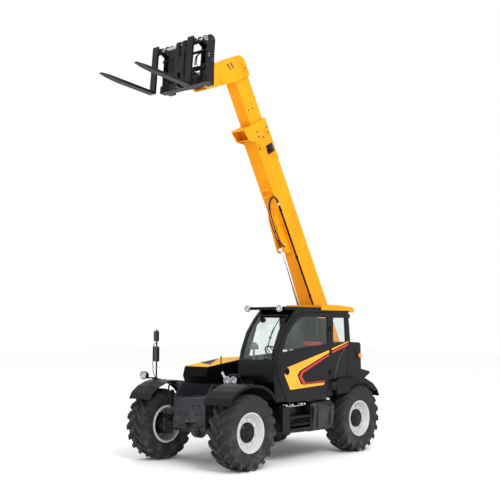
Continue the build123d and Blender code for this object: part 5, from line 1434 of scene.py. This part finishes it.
# The pressed line's thin tube wears the light grey satin: a painted highlight along the panel's edge.
tube("quarter_line", [(QUARTER_FACE, *at) for at in PRESSED], 0.0045, painted_highlight_paint, "chassis", 8)
tube("quarter_edge", [(QUARTER_FACE, *at) for at in REAR_EDGE], 0.0040, cab_paint, "chassis", 8)
box_parts = [placed(button(0.020), (1.0595, y, z), along_x())
             for y in (1.90, 2.18) for z in (1.42, 1.70, 2.00)]
box_parts.append(bar((0.010, 0.026, 0.070), (1.064, 2.05, 1.86), 0.003))
box_parts.append(rod(0.010, (1.060, 2.05, 1.93), (1.071, 2.05, 1.93)))
fitted("rear_box_latch", box_parts, black_paint)
print("pressed line:", len(PRESSED), "points")

# %% Steps: toothed treads
STEP_HEIGHTS = (0.635, 0.780)
TREAD_BARS = [1.118 - 0.026 * row for row in range(4)]      # X of each
treads = []
for z in STEP_HEIGHTS:
    for x in TREAD_BARS:
        treads.append(bar((0.005, 0.570, 0.022), (x, 0.290, z), 0.001))
        for k in range(15):
            treads.append(bar((0.0045, 0.012, 0.008), (x, 0.020 + 0.0385 * k, z + 0.0145), 0.0015))
    for k in range(5):
        treads.append(bar((0.084, 0.005, 0.016), (1.079, 0.015 + 0.1375 * k, z), 0.001))
slats = [bar((0.006, 0.560, 0.006), (1.131, 0.290, 0.660 + 0.024 * i), 0.0015, turned("Y", 30))
         for i in range(5)]
fitted("step_treads", treads + slats, black_paint)
print("tread pieces:", len(treads))

# %% Oil couplings over the steps, and the tank's cap
COUPLINGS = (-0.100, 0.060, 0.310, 0.400)      # Y of each
COUPLING_HEIGHT = 0.985


def coupling():
    """A quick coupling standing along Z: body, milled ring and dust cap."""
    return spun([(0, 0.074), (0.016, 0.074), (0.019, 0.070), (0.019, 0.050), (0.022, 0.046), (0.022, 0.030),
                 (0.018, 0.026), (0.018, 0.012), (0.024, 0.010), (0.024, 0), (0, 0)], 28)


bright = []
for y in COUPLINGS:
    bright.append(placed(coupling(), (1.045, y, COUPLING_HEIGHT), along_x()))
    bright.append(hexagon(0.034, 0.014, (1.040, y, COUPLING_HEIGHT), along_x()))
bright.append(bar((0.030, 0.70, 0.012), (1.032, 0.150, 0.955), 0.003))
for y in COUPLINGS[1:3]:
    bright.append(rod(0.007, (1.050, y, COUPLING_HEIGHT), (1.050, y + 0.10, COUPLING_HEIGHT)))
fitted("oil_couplings", bright, zinc)
for i, y in enumerate(COUPLINGS):
    route = [(1.042, y, COUPLING_HEIGHT), (1.010, y, COUPLING_HEIGHT), (0.970, y + 0.01, 0.975),
             (0.93, y + 0.02, 0.985), (0.88, y + 0.03, 1.005)]
    tube(f"step_hose_{i}", route, 0.010, hose_rubber, "chassis")
TANK_NECK = (1.080, 1.110, 1.0115)
tank_cap = [placed(spun([(0, 0.042), (0.030, 0.042), (0.036, 0.036), (0.038, 0.012), (0.044, 0.010),
                         (0.044, 0), (0, 0)], 40), TANK_NECK)]
tank_cap += [placed(bar((0.005, 0.007, 0.024), (0.0375, 0, 0.026), 0.0015), TANK_NECK,
                    turned("Z", 360 * i / 14)) for i in range(14)]
fitted("tank_cap", tank_cap, zinc)
straps = [bar((0.006, 0.034, 0.46), (1.1605, y, 0.74), 0.002) for y in (0.72, 1.09)]
fitted("tank_straps", straps, black_paint)
print("oil couplings:", len(COUPLINGS))

# %% Tail lamps, beacon foot, rear work lamp and tow pin
reds, ambers, clears, frames = [], [], [], []
for side in (1, -1):
    for fields, x, wide in ((reds, 0.760, 0.100), (clears, 0.850, 0.060), (ambers, 0.935, 0.090)):
        for row in range(2):
            fields.append(bar((wide, 0.008, 0.034), (side * x, 2.6555, 1.045 + 0.044 * row), 0.004))
    frame_ring = ring_plate(rectangle(0.304, 0.092), 0.010, 0.008)
    frames.append(placed(frame_ring, (side * 0.850, 2.652, 1.067), BACKWARDS))
fitted("tail_red", reds, red_lens)
fitted("tail_amber", ambers, amber_lens)
fitted("tail_clear", clears, clear_lens)
fitted("tail_frames", frames, black_paint)
beacon_ring = spun([(0.030, -0.002), (0.050, -0.002), (0.050, 0.006), (0.0455, 0.010), (0.0455, 0.014),
                    (0.030, 0.014), (0.030, -0.002)], 36)
fitted("beacon_foot", placed(beacon_ring, (1.062, 2.160, 1.790), along_x()), seal_rubber)
rear_can = spun([(0, -0.060), (0.030, -0.058), (0.044, -0.040), (0.050, -0.006), (0.050, 0.004),
                 (0.045, 0.004), (0.042, -0.010), (0, -0.014)], 32)
fitted("rear_work_lamp", [placed(rear_can, (1.000, 1.890, 2.545), turned("X", -75)),
                          bar((0.020, 0.050, 0.012), (1.000, 1.855, 2.598), 0.003),
                          bar((0.020, 0.012, 0.055), (1.000, 1.866, 2.575), 0.003)], black_paint)
TOW_Y = 2.760
pin_head = spun([(0, 0.020), (0.024, 0.018), (0.026, 0.006), (0.024, 0), (0, 0)], 24)
fitted("tow_pin", [rod(0.0135, (0, TOW_Y, 0.690), (0, TOW_Y, 0.905), 0.003, 24),
                   rod(0.007, (-0.03, TOW_Y, 0.915), (0.05, TOW_Y, 0.915)),
                   placed(pin_head, (0, TOW_Y, 0.900))], steel)
print("tail lamp fields:", len(reds + ambers + clears))

# %% [markdown]
# ## Guard mesh and the frame's small bolts
# The roof guard keeps small things off the driver with a wire mesh welded over its bars. Two
# rows of round wire, one laid over the other, give the broken outline that the guard has from
# below. The frame's own bolts hold the tower's cover and the tow jaw.

# %% Guard mesh
WIRE = 0.0032              # radius
wires = []
for x in (0.330 + 0.0628 * i for i in range(13)):
    wires.append(rod(WIRE, (x, -0.120, 2.6838), (x, 0.870, 2.6838), 0.001, 8))
for y in (-0.110 + 0.0600 * i for i in range(17)):
    wires.append(rod(WIRE, (0.325, y, 2.6862), (1.090, y, 2.6862), 0.001, 8))
mesh_clips = [bar((0.034, 0.020, 0.010), (x, y, 2.6850), 0.002)
              for x in (0.318, 1.098) for y in (-0.05, 0.28, 0.60, 0.84)]
fitted("guard_mesh", wires + mesh_clips, black_paint)
print("mesh wires:", len(wires))

# %% Frame bolts
frame_bolts = [placed(hexagon(0.026, 0.010), (side * 0.2625, y, z), along_x(side))
               for side in (1, -1) for z in (1.30, 1.52) for y in (2.330, 2.520)]
frame_bolts += [hexagon(0.026, 0.010, (x, 2.6945, z), BACKWARDS)
                for x in (-0.085, 0.085) for z in (0.730, 0.870)]
fitted("frame_bolts", frame_bolts, zinc)
print("frame bolts:", len(frame_bolts))
